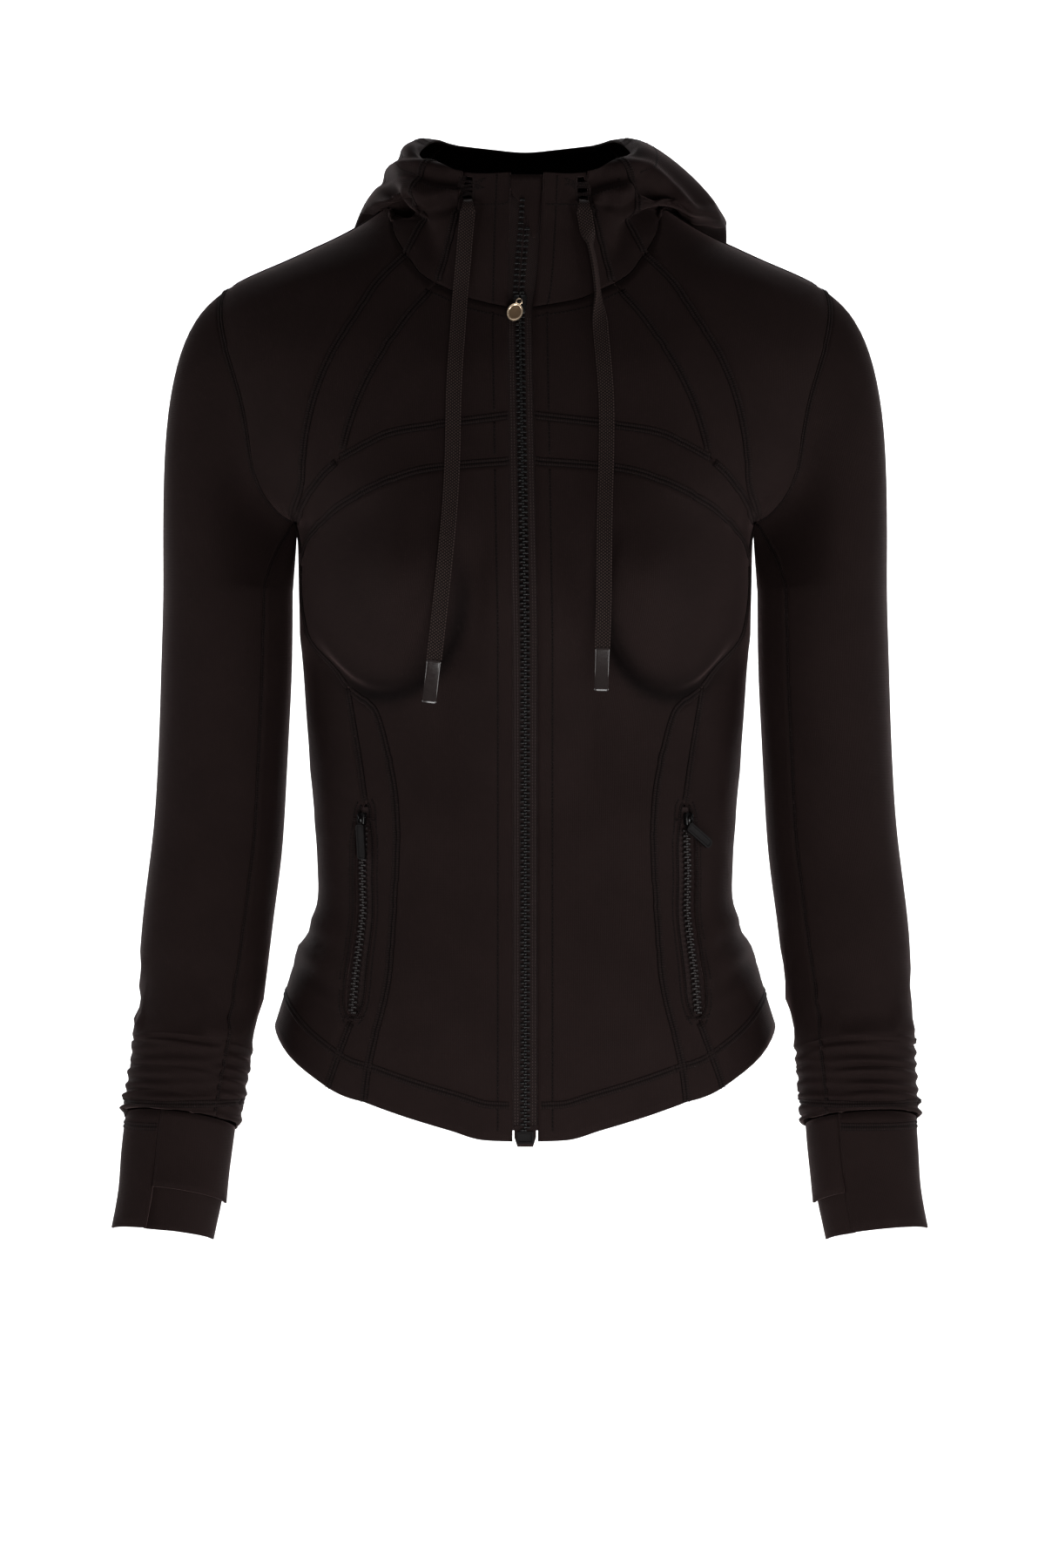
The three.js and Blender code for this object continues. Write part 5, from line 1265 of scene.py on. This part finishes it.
def findFreeEdges():
    # Runs of edge points that no other panel joins, cut at the corners.
    edges = []
    for name, data in cloth.items():
        for loop in data["loops"]:
            points = data["points"][loop]
            count = len(loop)
            free = []
            for i in loop:
                point = Vector(data["points"][i])
                joined = any(cloth[other]["tree"].find_nearest(point, seamSizes["reach"])[0] is not None
                             for other in cloth if other != name)
                free.append(not joined)
            corner = []
            for k in range(count):
                before = points[k] - points[k - 2]
                after = points[(k + 2) % count] - points[k]
                cosine = before @ after / max(np.linalg.norm(before) * np.linalg.norm(after), 1e-12)
                corner.append(cosine < 0.6)
            start = next((k for k in range(count) if corner[k] or not free[k]), 0)
            run = []
            for k in range(start, start + count + 1):
                j = k % count
                if free[j]:
                    run.append(loop[j])
                if (not free[j] or (corner[j] and len(run) > 2) or k == start + count) and run:
                    if len(run) > 5:
                        edges.append((name, run))
                    run = [loop[j]] if free[j] else []
    return edges


freeEdges = findFreeEdges()


def insetRow(name, run, distance):
    # The run moved across the panel by this distance, staying on the cloth.
    data = cloth[name]
    run = [i for k, i in enumerate(run) if k == 0 or i != run[k - 1]]
    points = smoothPath(data["points"][run])
    normals = data["normals"][run]
    aside = np.cross(tangentsOf(points), normals)

    def farOff(hand):
        return sum(data["tree"].find_nearest(Vector(point + side * hand * 4 * mm))[3]
                   for point, side in zip(points[2:-2], aside[2:-2]))

    hand = 1 if farOff(1) < farOff(-1) else -1
    steps = max(int(math.ceil(distance / (5 * mm))), 1)
    for _ in range(steps):
        aside = unitRows(np.cross(tangentsOf(points), normals))
        points, normals = layOnCloth(points + aside * hand * distance / steps, data["tree"])
    return points


def addRow(batch, points, length=1.9 * mm, gap=0.6 * mm, thick=0.42 * mm, tree=None):
    # Stitches one after another along the points.
    places, facing = layOnCloth(evenPath(points, length + gap), tree)
    for k in range(len(places) - 1):
        along = places[k + 1] - places[k]
        size = np.linalg.norm(along)
        if size < 1e-6:
            continue
        lift = facing[k] * thick * 0.3
        end = places[k] + along * length / size
        addStitch(batch, places[k] + lift, end + lift, facing[k], thick)


def makePocketBars(lines, batch):
    for tag in sides:
        middles, heights = pocketLines[tag]
        top, bottom = heights[0] + pocketSizes["barAbove"], heights[-1] - pocketSizes["barBelow"]
        for x, z in ((middles[0], top), (middles[-1], bottom)):
            spread = np.linspace(-pocketSizes["bar"], pocketSizes["bar"], 9)
            hits = [allCloth.ray_cast(Vector((x + s, -200, z)) * mm, Vector((0, 1, 0)))[0] for s in spread]
            addSewnLine(lines, batch, np.array([hit for hit in hits if hit is not None]), "piping")


rowStyles = {                   # a sewn line's width, height, spread of its painted groove shade, and stitches
    "line": (1.5 * mm, 0.12 * mm, 0.3, True),
    "cover": (5.0 * mm, 0.65 * mm, 1.0, False),
    "piping": (2.4 * mm, 0.6 * mm, 0.55, False),
}


def addSewnLine(lines, stitches, points, style):
    width, rise, spread, stitched = rowStyles[style]
    path, facing = layOnCloth(evenPath(points, 2.4 * mm))
    addRidge(lines, path, facing, width, rise, spread)
    if stitched:
        addRow(stitches, points)


cuffRows = {                    # heights of the covered rows at the wrist, in mm
    -562.5: ["cuff_strip"],
    -548.5: ["sleeve_upper", "sleeve_under"],
}


def levelRow(names, tag, height):
    # Points round the arm where it is cut level at this height, on these panels' outer faces.
    tree, steps = surfaceOf(names), 90
    middle = armMiddles[tag](height * mm)
    runs, run = [], []
    for k in range(steps + 1):
        angle = 2 * math.pi * k / steps - math.pi / 2 + 1.2
        ray = Vector((math.cos(angle), math.sin(angle), 0))
        hit, _, _, distance = tree.ray_cast(middle + ray * 80 * mm, -ray, 80 * mm)
        if hit is not None and distance < 70 * mm:
            run.append(np.array(hit))
        elif run:
            runs.append(run)
            run = []
    return [np.array(points) for points in runs + [run] if len(points) > 4]


def makeCuffRows(lines, batch):
    for tag in sides:
        for height, parts in cuffRows.items():
            for points in levelRow([f"{part}_{tag}" for part in parts], tag, height):
                addSewnLine(lines, batch, points, "cover")


def joinRows(rows, lines, batch):
    # The hem's row runs on across the seams between the panels.
    ends = [(k, row[i]) for k, row in enumerate(rows) for i in (0, -1) if len(row) > 1]
    for i, (first, start) in enumerate(ends):
        for second, end in ends[i + 1:]:
            near = np.linalg.norm(end - start) < 20 * mm
            if first != second and near and abs(start[0]) > 16 * mm:        # not across the zip
                share = np.linspace(0, 1, 6)[:, None]
                addSewnLine(lines, batch, start + (end - start) * share, "cover")


rowPlaces = {                   # how far from its edge each row is sewn, and its style
    "facing": [(9 * mm, "line")],                       # beside the zip
    "hem": [(22 * mm, "cover")],
    "channel": [(20 * mm, "line")],                     # the drawcord channel
    "welt": [(1.1 * mm, "piping"), (5 * mm, "line")],   # round the pocket
    "brim": [(21 * mm, "line")],                        # the hood's
    "neck": [(6.5 * mm, "line")],
}


def rowsOn(part, low, high):
    # Which rows run beside a free edge of this part that lies between these corners, in mm.
    if part in ("front_panel", "bust_band", "chest_panel", "collar_front") and high[0] < 13 and low[0] > -13:
        return rowPlaces["facing"]
    if high[2] < -500 and low[2] > -575 and part not in sleeveParts:
        return rowPlaces["hem"]
    if part == "collar_front" and high[2] - low[2] < 5 and high[0] - low[0] > 18:
        return rowPlaces["channel"]
    if part in ("front_panel", "waist_strip", "side_panel") and low[2] > -515:
        return rowPlaces["welt"]
    return rowPlaces["brim"] if part in ("hood_side", "hood_gusset", "hood_centre") else []


def makeRows():
    batch, lines, hem = newBatch(), newBatch(), []
    for name, run in freeEdges:
        points = cloth[name]["points"][run]
        low, high = points.min(0) / mm, points.max(0) / mm
        for distance, style in rowsOn(partOf(name), low, high):
            row = insetRow(name, run, distance)
            addSewnLine(lines, batch, row, style)
            if style == "cover":
                hem.append(row)
    for first, second, run in seams:
        if (partOf(first), partOf(second)) == ("chest_panel", "collar_front"):
            data = cloth[first]
            near = [int(np.argmin(np.linalg.norm(data["points"] - point, axis=1))) for point, _ in run]
            for distance, style in rowPlaces["neck"]:
                addSewnLine(lines, batch, insetRow(first, near, distance), style)
    joinRows(hem, lines, batch)
    makeCuffRows(lines, batch)
    makePocketBars(lines, batch)
    finishBatch("topstitch_rows", batch, thread, smooth=False)
    finishBatch("topstitch_lines", lines, seamCloth)
    print("topstitch faces:", len(batch["faces"]))


makeRows()


buttonholeSewing = {"every": 0.55 * mm, "deep": 2.3 * mm, "thick": 0.5 * mm, "lift": 0.15 * mm}


def makeButtonholes():
    # Close stitches from the buttonholes' edges inwards: the collar's short upright free edges.
    batch, size = newBatch(), buttonholeSewing
    for name, run in freeEdges:
        points = cloth[name]["points"][run]
        low, high = points.min(0) / mm, points.max(0) / mm
        if partOf(name) != "collar_front" or high[2] - low[2] > 20 or high[0] - low[0] > 6:
            continue
        path = evenPath(points, size["every"])
        inner = evenPath(insetRow(name, run, size["deep"]), size["every"])
        for k in range(len(path)):
            end = inner[min(int(round(k * (len(inner) - 1) / max(len(path) - 1, 1))), len(inner) - 1)]
            found, inside = onCloth(path[k]), onCloth(end, reach=0.7 * mm)
            if found is None or inside is None:
                continue
            lift = found[1] * size["lift"]
            addStitch(batch, path[k] + lift, end + lift, found[1], size["thick"])
    finishBatch("buttonhole_stitches", batch, thread, smooth=False)
    print("buttonhole faces:", len(batch["faces"]))


makeButtonholes()


stripThick = {                  # of the CAD's own strips
    "tape": 0.9 * mm, "guard": 0.8 * mm, "teeth": 2.2 * mm, "openTeeth": 1.4 * mm, "pocketTeeth": 1.7 * mm,
}
tapeNodes = [f"{part}_{tag}" for part in ("zip_tape", "pocket_tape") for tag in sides]
tapes = {name: makePanel(name, stripThick["tape"], tapeWeave) for name in tapeNodes}
guard = {"zip_guard": makePanel("zip_guard", stripThick["guard"])}


teethSizes = {
    "pitch": 3.6 * mm,          # from one tooth to the next on the same side
    "pocketPitch": 3.3 * mm,
    "reach": 2.9 * mm,          # from the tape to the tooth's head
    "length": 0.42, "height": 0.27,         # of a tooth, as shares of the pitch
    "sunk": 0.45 * mm,
    "openReach": 0.8, "openShift": -0.4 * mm,       # the open teeth above the slider: less reach, moved aside
    "points": 8, "flat": 0.6,               # points round a tooth, and how box-like its outline is
    "tapeRows": (4.6 * mm, 6.3 * mm),       # stitched rows on the tape, from the middle
}
toothRows = [                   # across, half length, height
    (1.0, 0.42, 0.55), (0.97, 0.62, 0.95), (0.6, 0.6, 1.1), (0.38, 0.42, 0.95), (0.12, 0.5, 1.0),
    (-0.1, 0.78, 1.15), (-0.24, 0.72, 1.0), (-0.29, 0.45, 0.6)]


def readStrip(name, thick):
    # A narrow CAD strip from top to bottom: its middles, sideways directions and outward directions.
    sheet = outerSheet(name, thick)
    points = sorted((np.array(v.co) for v in sheet.verts), key=lambda p: -p[2])
    sheet.free()
    rows = [sorted(points[k:k + 2], key=lambda p: p[0]) for k in range(0, len(points) - 1, 2)]
    left, right = np.array([r[0] for r in rows]), np.array([r[1] for r in rows])
    middle, across = (left + right) / 2, unitRows(right - left)
    out = unitRows(np.cross(across, tangentsOf(middle)))
    core = np.array([coreOf(name, Vector(m)) for m in middle])
    return middle, across, out * np.sign(((middle - core) * out).sum(1))[:, None]


def alongStrip(strip, step, offset=0.0):
    # The strip's middles and directions at even steps: sideways, outwards and along it.
    middle, across, out = strip
    lengths = lengthsAlong(middle)
    at = np.arange(offset, lengths[-1], step)
    return [readAlong(at, lengths, values) for values in (middle, across, out, tangentsOf(middle))]


def addTooth(batch, place, toward, out, along, reach, length, height):
    # One moulded tooth, from the tape's edge to its head.
    base, count = len(batch["verts"]), teethSizes["points"]
    for share, half, tall in toothRows:
        for k in range(count):
            angle = 2 * math.pi * (k + 0.5) / count
            v = blunt(math.cos(angle), teethSizes["flat"]) * half * length
            w = blunt(math.sin(angle), teethSizes["flat"]) * tall * height
            batch["verts"].append(place - toward * share * reach + along * v + out * w)
    addTube(batch["faces"], base, len(toothRows), count)


def teethPiece(name, strip, hands, node, pitch, reach, shift=0.0, material=toothPlastic):
    batch, size = newBatch(), teethSizes
    for hand in hands:
        offset = pitch * (0.3 if hand > 0 else 0.8)         # the two sides' teeth take turns
        for place, across, out, along in zip(*alongStrip(strip, pitch, offset)):
            centre = place - out * size["sunk"] + across * hand * shift
            addTooth(batch, centre, -across * hand, out, along, reach, pitch * size["length"],
                     pitch * size["height"])
    piece = meshObject(name, batch["verts"], batch["faces"], material)
    outwards(piece)
    return onJacket(piece, "zip_teeth", node)


def makeTeeth():
    size = teethSizes
    strip = readStrip("zip_teeth", stripThick["teeth"])
    teethPiece("main_zip_teeth", strip, (-1, 1), "zip_teeth", size["pitch"], size["reach"])
    for tag, hand in (("left", 1), ("right", -1)):
        node = f"zip_teeth_open_{tag}"
        teethPiece(f"open_zip_teeth_{tag}", readStrip(node, stripThick["openTeeth"]), (hand,), node,
                   size["pitch"], size["reach"] * size["openReach"], size["openShift"])
        node = f"pocket_teeth_{tag}"
        teethPiece(f"pocket_zip_teeth_{tag}", readStrip(node, stripThick["pocketTeeth"]), (-1, 1), node,
                   size["pocketPitch"], size["reach"], material=pocketTooth)


def makeTapeRows():
    batch = newBatch()
    tree = surfaceOf(["zip_tape_left", "zip_tape_right"], tapes)
    middle, across, _, _ = alongStrip(readStrip("zip_teeth", stripThick["teeth"]), 2.4 * mm)
    for hand in (-1, 1):
        for distance in teethSizes["tapeRows"]:
            points, _ = layOnCloth(middle + across * hand * distance, tree)
            addRow(batch, points, 1.3 * mm, 0.6 * mm, 0.6 * mm, tree)
    finishBatch("zip_tape_stitches", batch, tapeThread, smooth=False)


pocketBacking = {               # in mm; the steps are shares of the half width, from side to side
    "half": 10.5, "behind": 2.0, "bow": 0.9, "thick": 0.5, "past": 5, "steps": (-1, -0.5, 0, 0.5, 1),
}


def makePocketBacking():
    # The pocket's inner cloth, close behind the teeth, so the opening is never see-through.
    size = pocketBacking
    for tag in sides:
        middle, across, out = readStrip(f"pocket_teeth_{tag}", stripThick["pocketTeeth"])
        along = tangentsOf(middle) * size["past"] * mm
        middle = np.vstack([middle[0] - along[0], middle, middle[-1] + along[-1]])
        across, out = (np.vstack([rows[:1], rows, rows[-1:]]) for rows in (across, out))
        verts, faces, uvs = [], [], []
        for depth in (size["behind"], size["behind"] + size["thick"]):
            for i, place in enumerate(middle):
                for share in size["steps"]:
                    verts.append(place + (across[i] * share * size["half"]
                                          - out[i] * (depth + size["bow"] * share ** 2)) * mm)
                    uvs.append((share * size["half"] * mm, place[2]))
        wide, rows = len(size["steps"]), len(middle)
        layer = wide * rows         # how many points further on the back's are
        for i in range(rows - 1):
            for k in range(wide - 1):
                a = i * wide + k
                faces.append((a, a + 1, a + 1 + wide, a + wide))
                faces.append((layer + a, layer + a + wide, layer + a + 1 + wide, layer + a + 1))
        edge = [*range(wide), *range(2 * wide - 1, layer, wide), *range(layer - 2, layer - wide - 1, -1),
                *range(layer - 2 * wide, 0, -wide)]         # once round the strip
        for a, b in zip(edge, edge[1:] + edge[:1]):
            faces.append((a, layer + a, layer + b, b))
        piece = meshObject(f"pocket_inner_cloth_{tag}", verts, faces, tapeWeave, uvs)
        outwards(piece)
        onJacket(piece, "zip_tape")


makeTeeth()
makePocketBacking()
makeTapeRows()
print("teeth made")


def startBox(name, size, centre):
    bpy.ops.object.select_all(action="DESELECT")
    bpy.ops.mesh.primitive_cube_add(size=1)
    piece = bpy.context.object
    piece.name = name
    bpy.ops.object.mode_set(mode="EDIT")
    bpy.ops.transform.resize(value=size)
    bpy.ops.transform.translate(value=centre)
    bpy.ops.object.mode_set(mode="OBJECT")
    return piece


def pick(piece, kind, items, test):
    # Edit mode with just the corners or faces that pass the test selected.
    bpy.ops.object.mode_set(mode="OBJECT")
    for group in (piece.data.vertices, piece.data.edges, piece.data.polygons):
        for item in group:
            item.select = False
    for item in items:
        item.select = bool(test(item))
    bpy.ops.object.mode_set(mode="EDIT")
    bpy.ops.mesh.select_mode(type=kind)


def pickVerts(piece, test):
    pick(piece, "VERT", piece.data.vertices, lambda vert: test(vert.co / mm))


def insetFace(piece, hand, steps):
    # Insets the flat front (-1) or back (1) face in steps of width and height, in mm.
    pick(piece, "FACE", piece.data.polygons, lambda face: face.normal.y * hand > 0.9)
    for wide, high in steps:
        bpy.ops.mesh.inset(thickness=wide * mm, depth=high * mm)


def softenEdges(piece, width, segments=2):
    bpy.ops.object.mode_set(mode="OBJECT")
    selectOnly(piece)
    bevel = piece.modifiers.new("edges", "BEVEL")
    bevel.width, bevel.segments = width, segments
    bevel.limit_method = "ANGLE"
    bevel.angle_limit = math.radians(30)
    applyModifiers(piece)
    bpy.ops.object.shade_smooth_by_angle(angle=math.radians(35))


def joined(name, pieces):
    bpy.ops.object.mode_set(mode="OBJECT")
    bpy.ops.object.select_all(action="DESELECT")
    for piece in pieces:
        piece.select_set(True)
    bpy.context.view_layer.objects.active = pieces[0]
    bpy.ops.object.join()
    pieces[0].name = name
    return pieces[0]


def ringLink(name, wide, tall, thick, centre):
    # A flattened ring standing up, seen from the front.
    middle, wire = 1 * mm, 0.3 * mm
    bpy.ops.object.select_all(action="DESELECT")
    bpy.ops.mesh.primitive_torus_add(major_radius=middle, minor_radius=wire, major_segments=32,
                                     minor_segments=12, rotation=(math.pi / 2, 0, 0))
    piece = bpy.context.object
    piece.name = name
    bpy.ops.object.transform_apply(location=True, rotation=True, scale=True)
    bpy.ops.object.mode_set(mode="EDIT")
    outside = 2 * (middle + wire)
    bpy.ops.transform.resize(value=(wide / outside, thick / (2 * wire), tall / outside))
    bpy.ops.transform.translate(value=centre)
    bpy.ops.object.mode_set(mode="OBJECT")
    bpy.ops.object.shade_smooth()
    return piece


sliderSizes = {
    "wide": 8.8 * mm, "deep": 3.0 * mm, "top": 3.6 * mm, "bottom": -9.2 * mm,
    "front": 2.2 * mm,          # the body's face in front of the cloth
    "pin": 3.4 * mm,            # the pull's pin in front of the cloth
    "cuts": (2.1, -3.6, -7.2),  # heights in mm where its outline turns, and its width there as a share
    "tapers": ((3.6, 0.78), (-3.6, 0.86), (-7.2, 0.72), (-9.2, 0.58)),
    "small": 0.62,              # the pockets' sliders, as a share of this one
}


def sliderBody(name):
    # X across, -Y outwards, Z up; the pull's pin is at X 0, Z 0.
    size = sliderSizes
    tall = size["top"] - size["bottom"]
    body = startBox(name, (size["wide"], size["deep"], tall),
                    (0, size["deep"] / 2 - size["front"], (size["top"] + size["bottom"]) / 2))
    bpy.ops.object.mode_set(mode="EDIT")
    for height in size["cuts"]:
        bpy.ops.mesh.select_all(action="SELECT")
        bpy.ops.mesh.bisect(plane_co=(0, 0, height * mm), plane_no=(0, 0, 1))
    for height, share in size["tapers"]:
        pickVerts(body, lambda co: abs(co.z - height) < 0.05)
        bpy.ops.transform.resize(value=(share, 1, 1))
    insetFace(body, -1, [(0.7, 0.35)])
    softenEdges(body, 0.35 * mm)
    bridge = ringLink(name + "_bridge", 1.9 * mm, 6.4 * mm, 6.6 * mm, (0, -size["front"], 0))
    return joined(name, [body, bridge])


def placeBy(piece, matrix, body, slot, node, material, field=None):
    marks = [face.material_index for face in piece.data.polygons]
    piece.data.transform(matrix)
    piece.data.materials.clear()
    for finish in (material, field):
        if finish:
            piece.data.materials.append(finish)
    for face, mark in zip(piece.data.polygons, marks):
        face.material_index = mark if field else 0
    outwards(piece)
    return onJacket(piece, slot, node, body=body)


def pullFrame(joint, node):
    # The pin's place, with X across the cloth, -Y outwards and Z up along it.
    row = next(j for j in frame["joints"] if j["name"] == joint)
    points = np.array([v.co for v in nodes[node].data.vertices])
    _, _, axes = np.linalg.svd(points - points.mean(0), full_matrices=False)
    x = -Vector(row["axis"]).normalized()
    y = Vector(axes[2])
    y = (y - x * y.dot(x)).normalized()
    if y.y < 0:
        y = -y
    z = x.cross(y)
    pin = Vector(row["pos_m"]) + y * sliderSizes["pin"]
    matrix = Matrix((x, y, z)).transposed().to_4x4()
    matrix.translation = pin
    return matrix


badgeSizes = {                  # in mm, and the swing to one side in degrees
    "half": 4.8, "thick": 1.1, "halfTall": 5.9, "drop": 9.2, "swing": 20,
    "steps": [(0.85, 0), (0.25, -0.28), (0.9, 0), (0.9, 0.18)],     # the face's insets, width and height
    "field": 0.76,              # how far out the sunk face reaches, as a share of the whole
}


def markField(piece):
    # The sunk face of the badge takes the second, darker finish.
    piece.data.materials.clear()
    piece.data.materials.append(paleGold)
    piece.data.materials.append(goldShade)
    for face in piece.data.polygons:
        x, _, z = face.center / mm
        out = math.hypot(x / badgeSizes["half"], (z + badgeSizes["drop"]) / badgeSizes["halfTall"])
        face.material_index = int(out < badgeSizes["field"] and abs(face.normal.y) > 0.8)


def badgePull(name):
    # An oval badge with a raised rim, on a small link.
    size = badgeSizes
    bpy.ops.object.select_all(action="DESELECT")
    bpy.ops.mesh.primitive_cylinder_add(vertices=48, radius=1, depth=1, rotation=(math.pi / 2, 0, 0))
    badge = bpy.context.object
    bpy.ops.object.transform_apply(location=True, rotation=True, scale=True)
    bpy.ops.object.mode_set(mode="EDIT")
    bpy.ops.transform.resize(value=(size["half"] * mm, size["thick"] * mm, size["halfTall"] * mm))
    bpy.ops.transform.translate(value=(0, -sliderSizes["pin"], -size["drop"] * mm))
    for hand in (-1, 1):
        insetFace(badge, hand, size["steps"])
    softenEdges(badge, 0.12 * mm)
    markField(badge)
    link = ringLink(name + "_link", 4.2 * mm, 4.6 * mm, 1.1 * mm, (0, -sliderSizes["pin"], -1.7 * mm))
    link.data.materials.append(paleGold)
    badge = joined(name, [badge, link])
    badge.data.transform(Matrix.Rotation(math.radians(size["swing"]), 4, "Y"))
    return badge


rubberSizes = {                 # in mm, and each side's swing in degrees
    "wide": 6.3, "long": 22, "thick": 1.8, "drop": 6.7, "above": 1.9,
    "footRound": 2.6, "headRound": 1.6, "steps": [(1.1, 0), (0.3, -0.3)],
    "left": 58, "right": 0,
}


def rubberPull(name, swing):
    # A long soft tongue with a sunk panel, on a small link; it may hang to one side.
    size = rubberSizes
    tongue = startBox(name, (size["wide"] * mm, size["thick"] * mm, size["long"] * mm),
                      (0, 0, (size["above"] - size["long"] / 2) * mm))
    for side in (-1, 1):
        pickVerts(tongue, lambda co: co.x * side > 0 and co.z < -10)
        bpy.ops.mesh.bevel(offset=size["footRound"] * mm, segments=5, affect="EDGES")
        pickVerts(tongue, lambda co: co.x * side > 0 and co.z > 1)
        bpy.ops.mesh.bevel(offset=size["headRound"] * mm, segments=3, affect="EDGES")
    for hand in (-1, 1):
        insetFace(tongue, hand, size["steps"])
    softenEdges(tongue, 0.25 * mm)
    tongue.data.transform(Matrix.Translation((0, -sliderSizes["pin"], -size["drop"] * mm))
                          @ Matrix.Rotation(-math.radians(swing), 4, "Y"))
    link = ringLink(name + "_link", 4.6 * mm, 5.6 * mm, 1.0 * mm, (0, -sliderSizes["pin"], -2.3 * mm))
    return joined(name, [tongue, link])


def makePulls():
    matrix = pullFrame("main_pull_hinge", "zip_pull")
    placeBy(sliderBody("main_zip_slider"), matrix, "jacket", "zip_slider", "zip_slider", sliderEnamel)
    placeBy(badgePull("main_zip_pull"), matrix, "main_pull", "pull_badge", "zip_pull", paleGold, goldShade)
    for tag in sides:
        node = f"pocket_pull_{tag}"
        matrix = pullFrame(f"{tag}_pocket_pull_hinge", node)
        small = matrix @ Matrix.Diagonal((sliderSizes["small"], 1, sliderSizes["small"], 1))
        placeBy(sliderBody(f"pocket_zip_slider_{tag}"), small, "jacket", "zip_slider", f"pocket_slider_{tag}",
                sliderEnamel)
        placeBy(rubberPull(f"pocket_zip_pull_{tag}", rubberSizes[tag]), matrix, f"{tag}_pocket_pull",
                "pull_rubber", node, pullRubber)


boxSizes = {                    # in mm
    "steps": [(1.1, 0), (0.4, -0.4)], "round": 0.5,         # the face's insets, width and height
    "film": (13.4, 0.5, 13), "filmBehind": 0.6,             # the tape's stiff end: width, thickness, length
    "filmBelow": 3.5, "filmCut": 4, "filmFoot": 0.72,       # from the tape's end, and how narrow it gets
}


def makeZipBox():
    # The box at the foot of the zip, and the stiff film below it that the tapes end in.
    size = boxSizes
    low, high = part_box("zip_box")
    centre = (low + high) / 2
    box = startBox("main_zip_box", high - low, centre)
    insetFace(box, -1, size["steps"])
    softenEdges(box, size["round"] * mm, 3)
    placeBy(box, Matrix.Identity(4), "jacket", "zip_teeth", "zip_box", pullRubber)
    bottom = min(v.co.z for name in ("zip_tape_left", "zip_tape_right") for v in nodes[name].data.vertices)
    place = (centre[0], centre[1] + size["filmBehind"] * mm, bottom - size["filmBelow"] * mm)
    film = startBox("main_zip_end_film", [side * mm for side in size["film"]], place)
    bpy.ops.object.mode_set(mode="EDIT")
    bpy.ops.mesh.select_all(action="SELECT")
    bpy.ops.mesh.bisect(plane_co=(0, 0, bottom - size["filmCut"] * mm), plane_no=(0, 0, 1))
    pickVerts(film, lambda co: co.z < bottom / mm - 8)
    bpy.ops.transform.resize(value=(size["filmFoot"], 1, 1))
    softenEdges(film, 0.2 * mm)
    film.data.materials.clear()
    film.data.materials.append(tapeWeave)
    onJacket(film, "zip_tape")


makePulls()
makeZipBox()
print("zip hardware made")


def finishCloth(panels, slot):
    # Gives each panel its thickness and puts it on the jacket in place of its CAD part.
    for name, data in panels.items():
        piece = data["piece"]
        wall = piece.modifiers.new("wall", "SOLIDIFY")
        wall.thickness = data["thick"]
        wall.offset = -1
        applyModifiers(piece)
        onJacket(piece, slot, name)


finishCloth(cloth, "jersey")
finishCloth(guard, "jersey")
finishCloth(tapes, "zip_tape")
print("cloth finished")
